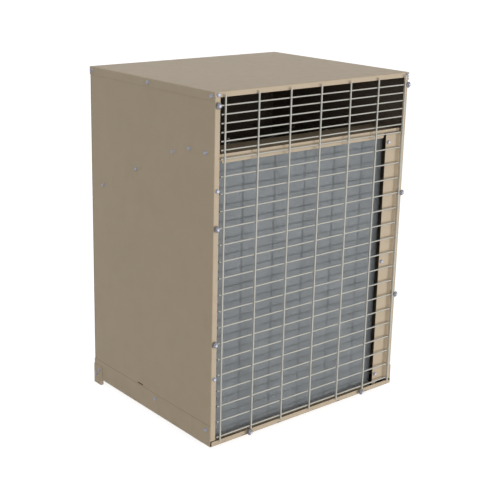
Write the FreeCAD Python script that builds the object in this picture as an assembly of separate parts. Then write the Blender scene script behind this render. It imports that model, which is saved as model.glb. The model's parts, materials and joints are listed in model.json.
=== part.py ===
import FreeCAD, Part
import math
import os
from FreeCAD import Vector

# A condensing unit for a wall opening. Air enters through the coil in the lower front, and a fan
# in a sloping deck blows it out through the upper front. One flat wire grille guards both.
# Lengths are millimetres. Pieces are drawn in the cabinet's own frame, with the origin at the
# base pan's front left bottom corner, X to the right, Y to the rear and Z up. Each piece is moved
# to the part's reference point, the middle of its footprint on the ground, when it is saved.

# Cabinet
cabinet_width = 660.4
cabinet_depth = 546.0
cabinet_height = 902.4
sheet = 1.2
bend_radius = 2.5
cutter_overrun = 1.0
bend_clearance = 1.6
panel_bottom = 16.0
flange_width = 15.6
pan_wall_height = 57.0
pan_lip_height = 13.8
pan_corner_gap = 4.3
cover_flange_height = 21.5
cover_lip_height = 13.4
corner_relief = 2.0

# Drain notches in the pan's front lip: left end and width of each
drain_notches = [(101.0, 24.0), (222.0, 13.0), (442.0, 13.0), (552.0, 13.0)]
drain_height = 4.0
drain_slant = 3.0
lip_end_notch = 7.0
lip_end_notch_depth = 3.5

# Slot in the side panels just above the pan
seam_slot_front = 300.5
seam_slot_length = 24.0
seam_slot_height = 3.0
seam_slot_rise = 2.7

# Rails under the pan
rail_height = 17.0
foot_tab_top = 41.5
foot_tab_length = 42.4
foot_tab_corner = 6.5
foot_notch_top = 2.0
foot_notch_bottom = -6.9
foot_notch_length = 33.4
foot_flange_depth = 12.0
foot_toe_length = 8.0
front_rail_sheet = 1.5
front_rail_setback = 60.0
front_rail_depth = 40.0
front_rail_inset = 21.0

# Fan deck
deck_front = 6.0
deck_top = 744.4
deck_lip_height = 8.0
deck_bend = 121.0
slope_angle = 24.8
deck_flange_height = 19.0
deck_flange_front = 20.0
deck_flange_corner = 8.0
deck_rear_flange = 15.0

# Fan and its orifice
fan_depth_position = 333.0
fan_radius = 203.0
tip_clearance = 7.0
mouth_flare = 6.0
collar_depth = 25.0
blade_count = 3
rest_angle = -80.0
blade_thickness = 1.6
blade_camber = 6.0
blade_tip_corner = 24.0
blade_tip_half_width = 78.0
blade_root_half_width = 24.0
blade_root_radius = 30.0
blade_trim_margin = 20.0
boss_radius = 38.0
boss_bottom = 4.0
boss_top = 46.0
bushing_radius = 15.0
bushing_overhang = 4.0
shaft_radius = 6.35
shaft_overhang = 8.0

# Blade sections: radius, width along the motion, height of the leading and of the trailing edge
blade_sections = [
    (22.0, 46.0, 9.0, 41.0),
    (90.0, 92.0, 7.0, 42.0),
    (150.0, 134.0, 6.0, 42.0),
    (214.0, 172.0, 6.0, 41.0),
]

# Fan motor and its bracket
motor_radius = 69.85
motor_length = 95.0
motor_top = -28.0
motor_chamfer = 6.0
bearing_radius = 20.0
bearing_height = 5.0
shaft_seat_depth = 20.0
running_clearance = 0.05
end_clearance = 0.3
band_thickness = 2.0
band_height = 30.0
arm_width = 18.0
arm_thickness = 3.0
arm_depth = 33.0
arm_pad_length = 23.0
arm_end_across = 172.0
arm_end_down = 210.0

# Coil
coil_front = 22.0
coil_left = 30.0
coil_bottom = 11.0
coil_top_gap = 8.0
coil_depth = 38.1
coil_inner_radius = 38.0
coil_right_gap = 16.0
coil_leg = 8.0
fin_rib_pitch = 9.5
fin_rib_thickness = 0.8
fin_rib_height = 4.8
tube_pitch = 38.1
tube_radius = 4.76
row_spacing = 19.05
end_plate_overlap = 2.0
header_radius = 8.0
header_margin = 20.0
nozzle_length = 12.0
nozzle_wall = 1.2

# Strips round the coil
channel_front_height = 14.4
channel_left = 22.0
channel_gap = 10.0
channel_notch = 6.0
channel_corner = 4.0
channel_depth = 64.0
support_left = 22.0
support_overrun = 8.0
support_overlap = 4.0

# Corner filler panel and the post behind it
filler_width = 66.0
filler_top_gap = 3.0
filler_bottom = 20.0
filler_return = 12.0
filler_side_return = 22.0
filler_face_width = 43.0
filler_slant = 5.0
filler_tab_width = 14.0
filler_tab_drop = 9.5
post_inset = 4.0
post_width = 17.0
post_depth = 18.0

# Outlet chamber lining
liner = 3.0
liner_gap = 2.0
liner_front = 8.0

# Wire grille
vertical_wire_radius = 2.25
vertical_wire_count = 7
vertical_wire_first = 27.8
vertical_wire_last_inset = 18.8
vertical_wire_bottom = 12.0
vertical_wire_drop = 7.0
cross_wire_radius = 1.85
cross_wire_drop = 32.7
close_pitch = 21.3
close_gap_count = 6
wide_pitch = 42.24
cross_wire_left = 18.4
clamped_wire_left = 16.5
cross_wire_overrun = 1.5
clamped_row_index = [0, 10, 17]
clamped_wire_index = [1, 5]
bottom_clamp_offset = 5.0
bottom_clamp_height = 9.0

# Screws
head_across_flats = 8.0
head_height = 5.0
clamp_washer_radius = 8.0
clamp_washer = 1.2
clamp_inset = 9.2
shank_radius = 2.1
shank_clearance = 0.1
shank_grip = 4.0

# Screw positions on the cabinet: from the front and above the pan's bottom, unless the name says
# from which edge they are set back
cover_screw_rows = [12.0, 270.0]
cover_rear_screw_setback = 11.0
cover_screw_drop = 10.3
deck_flat_screws = [32.0, 97.5]
deck_slope_screws = [165.0, 325.0, 487.0]
deck_screw_rise = 9.6
base_screws_at = [(16.0, 44.3), (238.5, 45.0)]
foot_screw_setbacks = [(27.4, 30.4), (12.4, 13.4)]
cover_lip_screw_inset = 9.0
cover_lip_screw_drop = 7.0
flange_screw_inset = 10.5
flange_screw_drops = [236.6, 717.4]
filler_screw_inset = 8.5
filler_screw_heights = [717.0, 380.0, 42.5]
rear_screw_inset = 9.0
rear_screw_heights = [150.0, 620.0]
rear_top_screw_drop = 67.0

# Rear panel and access panel
access_width = 300.0
access_top = 540.0
access_lap = 14.0
access_gap = 1.0
access_grip = 8.0
access_grip_width = 100.0
access_screw_inset = 14.0
access_edge_inset = 7.0
conduit_radius = 11.1
conduit_offset = 40.0
conduit_height = 330.0

# Compressor
compressor_inset = 228.0
compressor_depth_position = 300.0
shell_radius = 85.0
shell_bottom_radius = 62.0
shell_foot_curve = 26.0
shell_side_height = 215.0
shell_dome_height = 47.0
seam_rise = 140.0
seam_height = 6.0
seam_proud = 3.0
foot_plate_half = 95.0
foot_plate_corner = 18.0
foot_plate_thickness = 3.0
foot_bolt_spread = 78.0
grommet_radius = 12.5
grommet_height = 20.0
foot_bolt_across_flats = 13.0
foot_bolt_height = 8.0
terminal_width = 60.0
terminal_height = 80.0
terminal_depth = 18.0
terminal_rise = 125.0

# Refrigerant lines: tube radii, bend radius and heights
discharge_radius = 6.35
suction_radius = 9.53
liquid_radius = 4.76
line_bend = 30.0
discharge_height = 250.0
discharge_header_height = 560.0
suction_height = 165.0
suction_run_setback = 73.6
liquid_height = 110.0
liquid_turn_depth = 210.0
liquid_bend = 18.0
drier_front = 300.0
drier_length = 130.0
drier_radius = 25.0
drier_cone = 18.0

# Service valves
valve_plate_thickness = 2.0
valve_plate_left_margin = 42.0
valve_plate_right_margin = 38.0
valve_plate_lower_margin = 44.0
valve_plate_upper_margin = 60.0
valve_plate_corner = 8.0
valve_spacing = 70.0
liquid_inset = 66.0
valve_flange = 4.0
neck_length = 9.0
neck_hole_clearance = 0.5
valve_wall = 5.5
valve_flange_step = 3.0
valve_foot = 4.0
valve_rise = 22.0
gland_height = 8.0
gland_share = 1.7
socket_depth = 6.0
socket_wall = 1.8
gauge_port_radius = 5.0
gauge_port_length = 12.0
gauge_cap_across_flats = 13.0
gauge_cap_length = 9.0
stub_wall = 2.13
stub_clearance = 0.07
stub_reach = 20.0
stem_clearance = 0.05
stem_core = 2.5
stem_share = 0.3
stem_seat_share = 0.6
stem_shoulder = 2.0
key_length = 8.0
key_share = 0.62

# Control box and what it holds
box_sheet = 1.0
box_width = 190.0
box_depth = 110.0
box_rear_gap = 3.6
box_bottom = 300.0
box_top = 500.0
contactor_left = 30.0
contactor_width = 50.0
contactor_height = 60.0
contactor_bottom = 400.0
contactor_base = 18.0
contactor_depth = 45.0
contactor_step = 12.0
plunger_width = 16.0
plunger_height = 9.0
plunger_length = 13.0
plunger_proud = 3.5
plunger_pocket = 14.0
plunger_clearance = 0.3
capacitor_across = 140.0
capacitor_radius = 25.0
capacitor_bottom = 320.0
capacitor_height = 95.0
tab_length = 8.0
tab_width = 6.3
tab_thickness = 0.8
tab_spacing = 18.0
strap_thickness = 1.0
strap_height = 14.0
strap_rise = 45.0
strap_foot = 14.0

# High-pressure switch with its reset button
switch_offset = 100.0
switch_height = 330.0
switch_radius = 15.0
switch_length = 30.0
button_radius = 5.0
button_length = 12.0
button_proud = 4.0
button_pocket = 11.0
button_clearance = 0.3
button_hole_clearance = 0.8
capillary_radius = 1.2
capillary_bend = 12.0
capillary_run_setback = 75.0
capillary_collar_wall = 2.0
capillary_collar_height = 14.0

# Directions
origin = Vector(0.0, 0.0, 0.0)
up = Vector(0.0, 0.0, 1.0)

# Places worked out from the sizes above
inner_left = 2.0 * sheet
inner_right = cabinet_width - 2.0 * sheet
rear_plane = cabinet_depth - sheet
rear_inside = cabinet_depth - 2.0 * sheet
deck_rear = cabinet_depth - 3.0 * sheet
panel_top = cabinet_height - sheet - bend_clearance
cover_inside = cabinet_height - sheet
middle = cabinet_width / 2.0
foot_tab_front = cabinet_depth - foot_tab_length
foot_notch_rear = cabinet_depth - foot_notch_length
foot_flange_front = cabinet_depth - foot_flange_depth
filler_left = inner_right - filler_width
filler_top = deck_top - filler_top_gap
filler_screw_across = filler_left + filler_screw_inset
post_left = filler_left + post_inset
channel_right = filler_left - channel_gap
support_right = filler_left + support_overrun
valve_plane = rear_plane + valve_plate_thickness
slope = math.radians(slope_angle)
coil_top = deck_top - coil_top_gap
coil_outer_radius = coil_inner_radius + coil_depth
coil_leg_face = inner_right - coil_right_gap
coil_bend_across = coil_leg_face - coil_outer_radius
coil_bend_depth = coil_front + coil_outer_radius
coil_leg_end = coil_bend_depth + coil_leg
coil_rear = coil_front + coil_depth
header_depth = coil_leg_end + sheet + header_radius
outer_header_across = coil_leg_face - (coil_depth - row_spacing) / 2.0
inner_header_across = outer_header_across - row_spacing
vertical_wire_axis = -(2.0 * cross_wire_radius + vertical_wire_radius)
wire_front = vertical_wire_axis - vertical_wire_radius
pan_floor = sheet
grommet_top = pan_floor + grommet_height
foot_plate_top = grommet_top + foot_plate_thickness
last_wire = cabinet_width - vertical_wire_last_inset
compressor_across = inner_right - compressor_inset
liquid_across = inner_right - liquid_inset
suction_across = liquid_across - valve_spacing
suction_run_depth = rear_inside - suction_run_setback
conduit_across = access_width + conduit_offset
switch_across = access_width + switch_offset
box_rear = rear_inside - box_rear_gap
box_front = box_rear - box_depth
foot_screws_at = [(cabinet_depth - setback, height) for setback, height in foot_screw_setbacks]


def block(x0, x1, y0, y1, z0, z1):
    """A plain block between two values along each axis."""
    return Part.makeBox(x1 - x0, y1 - y0, z1 - z0, Vector(x0, y0, z0))


def rod(radius, start, end):
    """A round bar from one point to another."""
    return Part.makeCylinder(radius, (end - start).Length, start, end - start)


def tube(outer, inner, start, end):
    return rod(outer, start, end).cut(rod(inner, start, end))


def flat_face(points):
    return Part.Face(Part.makePolygon(points + points[:1]))


def side_profile(outline, x0, x1):
    """An outline of (y, z) points, extruded from x0 to x1."""
    points = [Vector(x0, y, z) for y, z in outline]
    return flat_face(points).extrude(Vector(x1 - x0, 0.0, 0.0))


def front_profile(outline, y0, y1):
    """An outline of (x, z) points, extruded from y0 to y1."""
    points = [Vector(x, y0, z) for x, z in outline]
    return flat_face(points).extrude(Vector(0.0, y1 - y0, 0.0))


def plan_profile(outline, z0, z1):
    """An outline of (x, y) points, extruded from z0 to z1."""
    points = [Vector(x, y, z0) for x, y in outline]
    return flat_face(points).extrude(Vector(0.0, 0.0, z1 - z0))


def rounded(shape, radius, chosen):
    """Round the straight edges that chosen picks by their middle point and direction."""
    edges = []
    for edge in shape.Edges:
        if isinstance(edge.Curve, Part.Line):
            if chosen(edge.CenterOfMass, edge.tangentAt(edge.FirstParameter)):
                edges.append(edge)
    return shape.makeFillet(radius, edges)


def near(a, b):
    return abs(a - b) < 0.01


def joined(shapes):
    """Fuse shapes that touch into one clean solid."""
    whole = shapes[0].multiFuse(shapes[1:]).removeSplitter()
    return whole.Solids[0]


def on_right(shape):
    """The same piece on the cabinet's other side."""
    return shape.mirror(Vector(middle, 0.0, 0.0), Vector(1.0, 0.0, 0.0))


def hex_prism(across_flats, height):
    corner = across_flats / math.sqrt(3.0)
    points = []
    for step in range(6):
        angle = math.radians(60.0 * step)
        points.append(Vector(corner * math.cos(angle), corner * math.sin(angle), 0.0))
    return flat_face(points).extrude(Vector(0.0, 0.0, height))


def placed(shape, seat, outward):
    """Stand a shape that was drawn along Z on a seat, pointing outward."""
    turn = FreeCAD.Rotation(up, outward)
    shape.Placement = FreeCAD.Placement(seat, turn)
    return shape


def panel_screw(seat, outward):
    """A sheet-metal screw's hexagonal head, as it lies on the sheet."""
    return placed(hex_prism(head_across_flats, head_height), seat, outward)


def clamp_screw(seat, reach):
    """A screw with a wide captive washer that holds the wires; reach is how far the sheet lies
    behind the washer."""
    washer = Part.makeCylinder(clamp_washer_radius, clamp_washer)
    head = hex_prism(head_across_flats, head_height)
    head.translate(Vector(0.0, 0.0, clamp_washer))
    length = reach + sheet + shank_grip
    shank = Part.makeCylinder(shank_radius, length, Vector(0.0, 0.0, -length))
    return placed(joined([shank, washer, head]), seat, Vector(0.0, -1.0, 0.0))


def screw_holes(x, z):
    """The hole that a clamp screw's shank passes, through the sheets at the front."""
    radius = shank_radius + shank_clearance
    return rod(radius, Vector(x, -2.0 * sheet, z), Vector(x, 2.0 * sheet, z))


def cross_wire_heights():
    """Close rows over the air outlet, then wide ones for as long as they clear the pan's lip."""
    top = cabinet_height - cross_wire_drop
    heights = [top - close_pitch * step for step in range(close_gap_count + 1)]
    lowest_close = heights[-1]
    room = lowest_close - pan_lip_height - cross_wire_radius
    for step in range(1, int(room / wide_pitch) + 1):
        heights.append(lowest_close - wide_pitch * step)
    return heights


def vertical_wire_positions():
    pitch = (last_wire - vertical_wire_first) / (vertical_wire_count - 1)
    return [vertical_wire_first + pitch * step for step in range(vertical_wire_count)]


def bottom_clamp_positions():
    wires = vertical_wire_positions()
    return [wires[index] - bottom_clamp_offset for index in clamped_wire_index]


def base_pan():
    """The pan: a floor with high side and rear walls, and a low front lip with drain notches."""
    outer = block(0.0, cabinet_width, -sheet, cabinet_depth, 0.0, pan_wall_height)
    outer = rounded(outer, bend_radius, lambda at, way: near(at.z, 0.0))
    above = pan_wall_height + cutter_overrun
    beyond = cabinet_width + cutter_overrun
    inner = block(sheet, cabinet_width - sheet, 0.0, rear_plane, pan_floor, above)
    inner = rounded(inner, bend_radius - sheet, lambda at, way: near(at.z, pan_floor))
    pan = outer.cut(inner)
    cuts = [
        block(-cutter_overrun, beyond, -2.0 * sheet, 0.0, pan_lip_height, above),
        block(-cutter_overrun, pan_corner_gap, -2.0 * sheet, 0.0, -cutter_overrun, above),
        block(
            cabinet_width - sheet - lip_end_notch,
            cabinet_width - sheet,
            -2.0 * sheet,
            0.0,
            pan_lip_height - lip_end_notch_depth,
            above,
        ),
    ]
    for left, width in drain_notches:
        outline = [
            (left, -cutter_overrun),
            (left + drain_slant, drain_height),
            (left + width, drain_height),
            (left + width, -cutter_overrun),
        ]
        cuts.append(front_profile(outline, -2.0 * sheet, 0.0))
    for x in bottom_clamp_positions():
        cuts.append(screw_holes(x, bottom_clamp_height))
    return pan.cut(cuts)


def rear_foot_rail():
    """The foot along the rear: a plate behind the pan, a floor flange, and two side tabs, each
    with a toe turned in at its foot."""
    rear = cabinet_depth + sheet
    left = -sheet
    right = cabinet_width + sheet
    tab_outline = [
        (rear, -rail_height),
        (foot_notch_rear, -rail_height),
        (foot_notch_rear, foot_notch_bottom),
        (foot_tab_front, foot_notch_top),
        (foot_tab_front, foot_tab_top),
        (rear, foot_tab_top),
    ]
    tab = side_profile(tab_outline, left, 0.0)
    tab = rounded(
        tab,
        foot_tab_corner,
        lambda at, way: near(at.y, foot_tab_front) and near(at.z, foot_tab_top),
    )
    plate = block(left, right, cabinet_depth, rear, -rail_height, foot_tab_top)
    floor = block(left, right, foot_flange_front, rear, -rail_height, sheet - rail_height)
    toe_rear = foot_notch_rear + sheet
    toe = block(left, foot_toe_length, foot_notch_rear, toe_rear, -rail_height, foot_notch_bottom)
    return joined([plate, floor, tab, toe, on_right(tab), on_right(toe)])


def front_support_rail():
    """A channel under the pan, open to the rear, set back so that it doesn't show."""
    front = front_rail_setback
    rear = front + front_rail_depth
    left = front_rail_inset
    right = cabinet_width - front_rail_inset
    outer = block(left, right, front, rear, -rail_height, 0.0)
    low = front_rail_sheet - rail_height
    inner = block(
        left - cutter_overrun,
        right + cutter_overrun,
        front + front_rail_sheet,
        rear + cutter_overrun,
        low,
        -front_rail_sheet,
    )
    return outer.cut(inner)


def left_side_panel():
    """A side wall with a narrow flange along the front and the rear edge."""
    outer = block(sheet, sheet + flange_width, 0.0, rear_inside, panel_bottom, panel_top)
    outer = rounded(outer, bend_radius, lambda at, way: near(at.x, sheet) and abs(way.z) > 0.9)
    inner = block(inner_left, inner_left + flange_width, sheet, deck_rear, 0.0, cabinet_height)
    inner = rounded(
        inner,
        bend_radius - sheet,
        lambda at, way: near(at.x, inner_left) and abs(way.z) > 0.9,
    )
    slot_bottom = pan_wall_height + seam_slot_rise
    cuts = [
        inner,
        block(
            0.0,
            inner_left + cutter_overrun,
            seam_slot_front,
            seam_slot_front + seam_slot_length,
            slot_bottom,
            slot_bottom + seam_slot_height,
        ),
    ]
    heights = cross_wire_heights()
    for row in clamped_row_index:
        cuts.append(screw_holes(clamp_inset, heights[row]))
    return outer.cut(cuts)


def top_cover():
    """The top: a shallow inverted tray with a lower front lip."""
    low = cabinet_height - cover_flange_height
    outer = block(0.0, cabinet_width, -sheet, cabinet_depth, low, cabinet_height)
    outer = rounded(outer, bend_radius, lambda at, way: near(at.z, cabinet_height))
    inner = block(sheet, cabinet_width - sheet, 0.0, rear_plane, low - cutter_overrun, cover_inside)
    inner = rounded(inner, bend_radius - sheet, lambda at, way: near(at.z, cover_inside))
    lip_bottom = cabinet_height - cover_lip_height
    cuts = [
        inner,
        block(
            -cutter_overrun,
            cabinet_width + cutter_overrun,
            -2.0 * sheet,
            0.0,
            low - cutter_overrun,
            lip_bottom,
        ),
    ]
    relief = block(
        -cutter_overrun,
        sheet,
        -2.0 * sheet,
        corner_relief,
        lip_bottom - corner_relief,
        lip_bottom + corner_relief,
    )
    cuts.append(relief)
    cuts.append(on_right(relief))
    return outer.cut(cuts)


def rear_panel():
    """The fixed part of the rear wall, with joggled edges that the access panel laps."""
    outline = [
        (sheet, access_top),
        (access_width, access_top),
        (access_width, panel_bottom),
        (cabinet_width - sheet, panel_bottom),
        (cabinet_width - sheet, panel_top),
        (sheet, panel_top),
    ]
    wall = front_profile(outline, rear_inside, rear_plane)
    left = sheet + flange_width + access_gap
    lap_top = block(
        left,
        access_width + access_lap,
        deck_rear,
        rear_inside,
        access_top - access_lap,
        access_top + access_lap,
    )
    lap_side = block(
        access_width - access_lap,
        access_width + access_lap,
        deck_rear,
        rear_inside,
        pan_wall_height,
        access_top + access_lap,
    )
    panel = joined([wall, lap_top, lap_side])
    return panel.cut([
        through_rear(conduit_radius, conduit_across, conduit_height),
        through_rear(button_radius + button_hole_clearance, switch_across, switch_height),
        through_rear(neck_radius(suction_radius) + neck_hole_clearance, suction_across, suction_height),
        through_rear(neck_radius(liquid_radius) + neck_hole_clearance, liquid_across, liquid_height),
    ])


def through_rear(radius, x, z):
    """A round cutter through the rear wall and the valve plate."""
    start = Vector(x, deck_rear - cutter_overrun, z)
    return rod(radius, start, Vector(x, valve_plane + cutter_overrun, z))


def service_access_panel():
    """The removable rear panel in front of the control box, with a folded grip along its top."""
    left = sheet
    right = access_width - access_gap
    top = access_top - access_gap
    plate = block(left, right, rear_inside, rear_plane, panel_bottom, top)
    grip_left = (left + right - access_grip_width) / 2.0
    grip_right = grip_left + access_grip_width
    grip = block(grip_left, grip_right, rear_inside, rear_plane + access_grip, top - sheet, top)
    return joined([plate, grip])


def deck_surface(y):
    """The height of the deck's upper surface at a distance from the front."""
    return deck_top - max(0.0, y - deck_bend) * math.tan(slope)


def above_deck(y, offset):
    """The height of a line that runs beside the deck's upper surface, offset square to it."""
    bend = deck_bend + offset * math.tan(slope / 2.0)
    if y <= bend:
        return deck_top + offset
    return deck_top + offset - (y - bend) * math.tan(slope)


def deck_line(front, rear, offset):
    """Points of that line from front to rear, with the bend between them."""
    bend = deck_bend + offset * math.tan(slope / 2.0)
    return [(front, above_deck(front, offset)), (bend, deck_top + offset), (rear, above_deck(rear, offset))]


def slope_placement():
    """Where the fan's own frame lies: Z square to the sloping deck, origin on its surface."""
    centre = Vector(middle, fan_depth_position, deck_surface(fan_depth_position))
    return FreeCAD.Placement(centre, FreeCAD.Rotation(Vector(1.0, 0.0, 0.0), -slope_angle))


def on_slope(shape):
    shape.Placement = slope_placement().multiply(shape.Placement)
    return shape


def fan_deck():
    """The deck: flat in front, sloping down to the rear, with the fan's orifice in the slope."""
    lower = deck_line(deck_front, deck_rear, -sheet)
    upper = deck_line(deck_front + sheet, deck_rear - sheet, 0.0)
    lip_top = deck_top + deck_lip_height
    rear_top = deck_surface(deck_rear - sheet) + deck_rear_flange
    outline = [(deck_front, lip_top)] + lower
    outline += [(deck_rear, rear_top), (deck_rear - sheet, rear_top)]
    outline += upper[::-1] + [(deck_front + sheet, lip_top)]
    floor = side_profile(outline, inner_left, inner_right)
    flange_line = deck_line(deck_flange_front, deck_rear - sheet, -sheet)
    top_line = deck_line(deck_flange_front, deck_rear - sheet, deck_flange_height)
    flange = side_profile(flange_line + top_line[::-1], inner_left, inner_left + sheet)
    flange = rounded(
        flange,
        deck_flange_corner,
        lambda at, way: near(at.y, deck_flange_front) and near(at.z, deck_top + deck_flange_height),
    )
    mouth_radius = fan_radius + tip_clearance + mouth_flare
    mouth = on_slope(Part.makeCylinder(mouth_radius, 4.0 * sheet, Vector(0.0, 0.0, -2.0 * sheet)))
    floor = joined([floor, flange, on_right(flange)]).cut(mouth)
    return joined([floor, on_slope(orifice_ring())])


def orifice_ring():
    """The orifice's rim: a flared mouth that turns down into a straight collar."""
    throat = fan_radius + tip_clearance
    mouth = throat + mouth_flare
    outline = [
        (mouth, 0.0),
        (throat, -mouth_flare),
        (throat, -collar_depth),
        (throat + sheet, -collar_depth),
        (throat + sheet, -mouth_flare - sheet / 2.0),
        (mouth, -sheet),
    ]
    points = [Vector(radius, 0.0, height) for radius, height in outline]
    return flat_face(points).revolve(origin, up, 360.0)


def corner_filler_panel():
    """The flat panel in front of the coil's bend. Its right edge steps forward to lie behind the
    side panel's flange and then turns back, and a tab hangs at its foot."""
    step_left = filler_left + filler_face_width
    step_right = step_left + filler_slant
    return_front = inner_right - sheet
    return_rear = deck_front + filler_side_return
    outline = [
        (filler_left, deck_front),
        (step_left, deck_front),
        (step_right, sheet),
        (inner_right, sheet),
        (inner_right, return_rear),
        (return_front, return_rear),
        (return_front, 2.0 * sheet),
        (step_right, 2.0 * sheet),
        (step_left, deck_front + sheet),
        (filler_left, deck_front + sheet),
    ]
    panel = plan_profile(outline, filler_bottom, filler_top)
    panel = rounded(
        panel, bend_radius, lambda at, way: near(at.x, inner_right) and near(at.y, sheet)
    )
    panel = rounded(
        panel,
        bend_radius - sheet,
        lambda at, way: near(at.x, return_front) and near(at.y, 2.0 * sheet) and abs(way.z) > 0.9,
    )
    tab = block(
        filler_left,
        filler_left + filler_tab_width,
        deck_front,
        deck_front + sheet,
        filler_bottom - filler_tab_drop,
        filler_bottom,
    )
    heights = [height for height in cross_wire_heights() if filler_bottom < height < filler_top]
    clamped = [cross_wire_heights()[row] for row in clamped_row_index]
    holes = [screw_holes(cabinet_width - clamp_inset, z) for z in heights if z in clamped]
    return joined([panel, tab]).cut(holes)


def corner_post():
    """The upright angle that the filler panel is screwed to."""
    front = deck_front + sheet
    right = post_left + post_width
    outline = [
        (post_left, front),
        (right, front),
        (right, front + post_depth),
        (right - sheet, front + post_depth),
        (right - sheet, front + sheet),
        (post_left, front + sheet),
    ]
    return plan_profile(outline, pan_floor, filler_top)


def coil_top_channel():
    """The channel over the coil's top edge, hung under the deck."""
    front = deck_front
    rear = front + channel_depth
    top = deck_top - sheet
    bottom = deck_top - channel_front_height
    outline = [
        (channel_left, top),
        (channel_left, bottom + channel_notch),
        (channel_left + channel_notch, bottom + channel_notch),
        (channel_left + channel_notch, bottom),
        (channel_right, bottom),
        (channel_right, top),
    ]
    face = front_profile(outline, front, front + sheet)
    face = rounded(
        face,
        channel_corner,
        lambda at, way: near(at.x, channel_right) and near(at.z, bottom),
    )
    web = block(channel_left, channel_right, front, rear, top - sheet, top)
    back = block(channel_left, channel_right, rear - sheet, rear, bottom, top)
    return joined([face, web, back])


def coil_support_rail():
    """The inverted channel that the coil stands on."""
    front = coil_front - support_overlap
    rear = coil_rear + support_overlap
    outer = block(support_left, support_right, front, rear, pan_floor, coil_bottom)
    inner = block(
        support_left - cutter_overrun,
        support_right + cutter_overrun,
        front + sheet,
        rear - sheet,
        pan_floor - cutter_overrun,
        coil_bottom - sheet,
    )
    return outer.cut(inner)


def plenum_liner():
    """Four sheets of black foam on the walls and the roof of the outlet chamber."""
    top = cover_inside - bend_clearance
    rear = deck_rear - liner
    face = inner_left + sheet + liner
    lower = deck_line(liner_front, rear, liner_gap)
    left = side_profile(lower + [(rear, top), (liner_front, top)], inner_left, face)
    flange_front = deck_flange_front - liner_gap
    flange_low = deck_line(flange_front, deck_rear, -sheet)
    flange_high = deck_line(flange_front, deck_rear, deck_flange_height + liner_gap)
    flange_room = side_profile(flange_low + flange_high[::-1], sheet, inner_left + sheet)
    left = left.cut(flange_room)
    back_bottom = deck_surface(deck_rear) + deck_rear_flange + liner_gap
    back_left = inner_left + flange_width
    back = block(
        back_left, cabinet_width - back_left, deck_rear - sheet, rear_inside, back_bottom, panel_top
    )
    roof_left = face
    roof_rear = deck_rear - liner
    roof = block(
        roof_left, cabinet_width - roof_left, liner_front, roof_rear, cover_inside - liner, cover_inside
    )
    return [left, on_right(left), back, roof]


def vertical_wires():
    wires = []
    top = cabinet_height - vertical_wire_drop
    for x in vertical_wire_positions():
        start = Vector(x, vertical_wire_axis, vertical_wire_bottom)
        wires.append(rod(vertical_wire_radius, start, Vector(x, vertical_wire_axis, top)))
    return wires


def cross_wires():
    """The horizontal wires, which lie on the panels' flanges behind the upright ones."""
    wires = []
    for row, height in enumerate(cross_wire_heights()):
        left = clamped_wire_left if row in clamped_row_index else cross_wire_left
        start = Vector(left, -cross_wire_radius, height)
        end = Vector(last_wire + cross_wire_overrun, -cross_wire_radius, height)
        wires.append(rod(cross_wire_radius, start, end))
    return wires


def grille_clamps():
    """Washers and screws: on the wires' ends at the left, and over the outer upright wire."""
    clamps = []
    heights = cross_wire_heights()
    stub_face = 2.0 * cross_wire_radius
    for row in clamped_row_index:
        clamps.append(clamp_screw(Vector(clamp_inset, -stub_face, heights[row]), stub_face))
        seat = Vector(cabinet_width - clamp_inset, wire_front, heights[row])
        clamps.append(clamp_screw(seat, -wire_front))
    for x in bottom_clamp_positions():
        clamps.append(clamp_screw(Vector(x, wire_front, bottom_clamp_height), -wire_front))
    return clamps


def both_sides(points, face):
    """Panel screws at (y, z) points on the left side, and the same on the right side."""
    screws = []
    for y, z in points:
        screws.append(panel_screw(Vector(face, y, z), Vector(-1.0, 0.0, 0.0)))
        screws.append(panel_screw(Vector(cabinet_width - face, y, z), Vector(1.0, 0.0, 0.0)))
    return screws


def facing(points, face, outward):
    """Panel screws at (x, z) points on a front or rear face."""
    return [panel_screw(Vector(x, face, z), Vector(0.0, outward, 0.0)) for x, z in points]


def top_cover_screws():
    height = cabinet_height - cover_screw_drop
    rows = cover_screw_rows + [cabinet_depth - cover_rear_screw_setback]
    screws = both_sides([(y, height) for y in rows], 0.0)
    right = cabinet_width - rear_screw_inset
    rear_points = [(rear_screw_inset, height), (middle, height), (right, height)]
    screws += facing(rear_points, cabinet_depth, 1.0)
    left = cover_lip_screw_inset
    lip_height = cabinet_height - cover_lip_screw_drop
    lip_points = [(left, lip_height), (cabinet_width - left, lip_height)]
    return screws + facing(lip_points, -sheet, -1.0)


def deck_screws():
    points = [(y, deck_top + deck_screw_rise) for y in deck_flat_screws]
    points += [(y, above_deck(y, deck_screw_rise)) for y in deck_slope_screws]
    return both_sides(points, sheet)


def front_flange_screws():
    points = []
    for drop in flange_screw_drops:
        height = cabinet_height - drop
        points.append((flange_screw_inset, height))
    return facing(points, 0.0, -1.0)


def rear_panel_screws():
    points = []
    for height in rear_screw_heights + [cabinet_height - rear_top_screw_drop]:
        points.append((cabinet_width - rear_screw_inset, height))
        if height > access_top:
            points.append((rear_screw_inset, height))
    return facing(points, rear_plane, 1.0)


def access_panel_screws():
    low = pan_wall_height + access_screw_inset
    high = access_top - access_screw_inset
    left = rear_screw_inset
    right = access_width - access_gap - access_edge_inset
    return facing([(left, low), (left, high), (right, low), (right, high)], rear_plane, 1.0)


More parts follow.
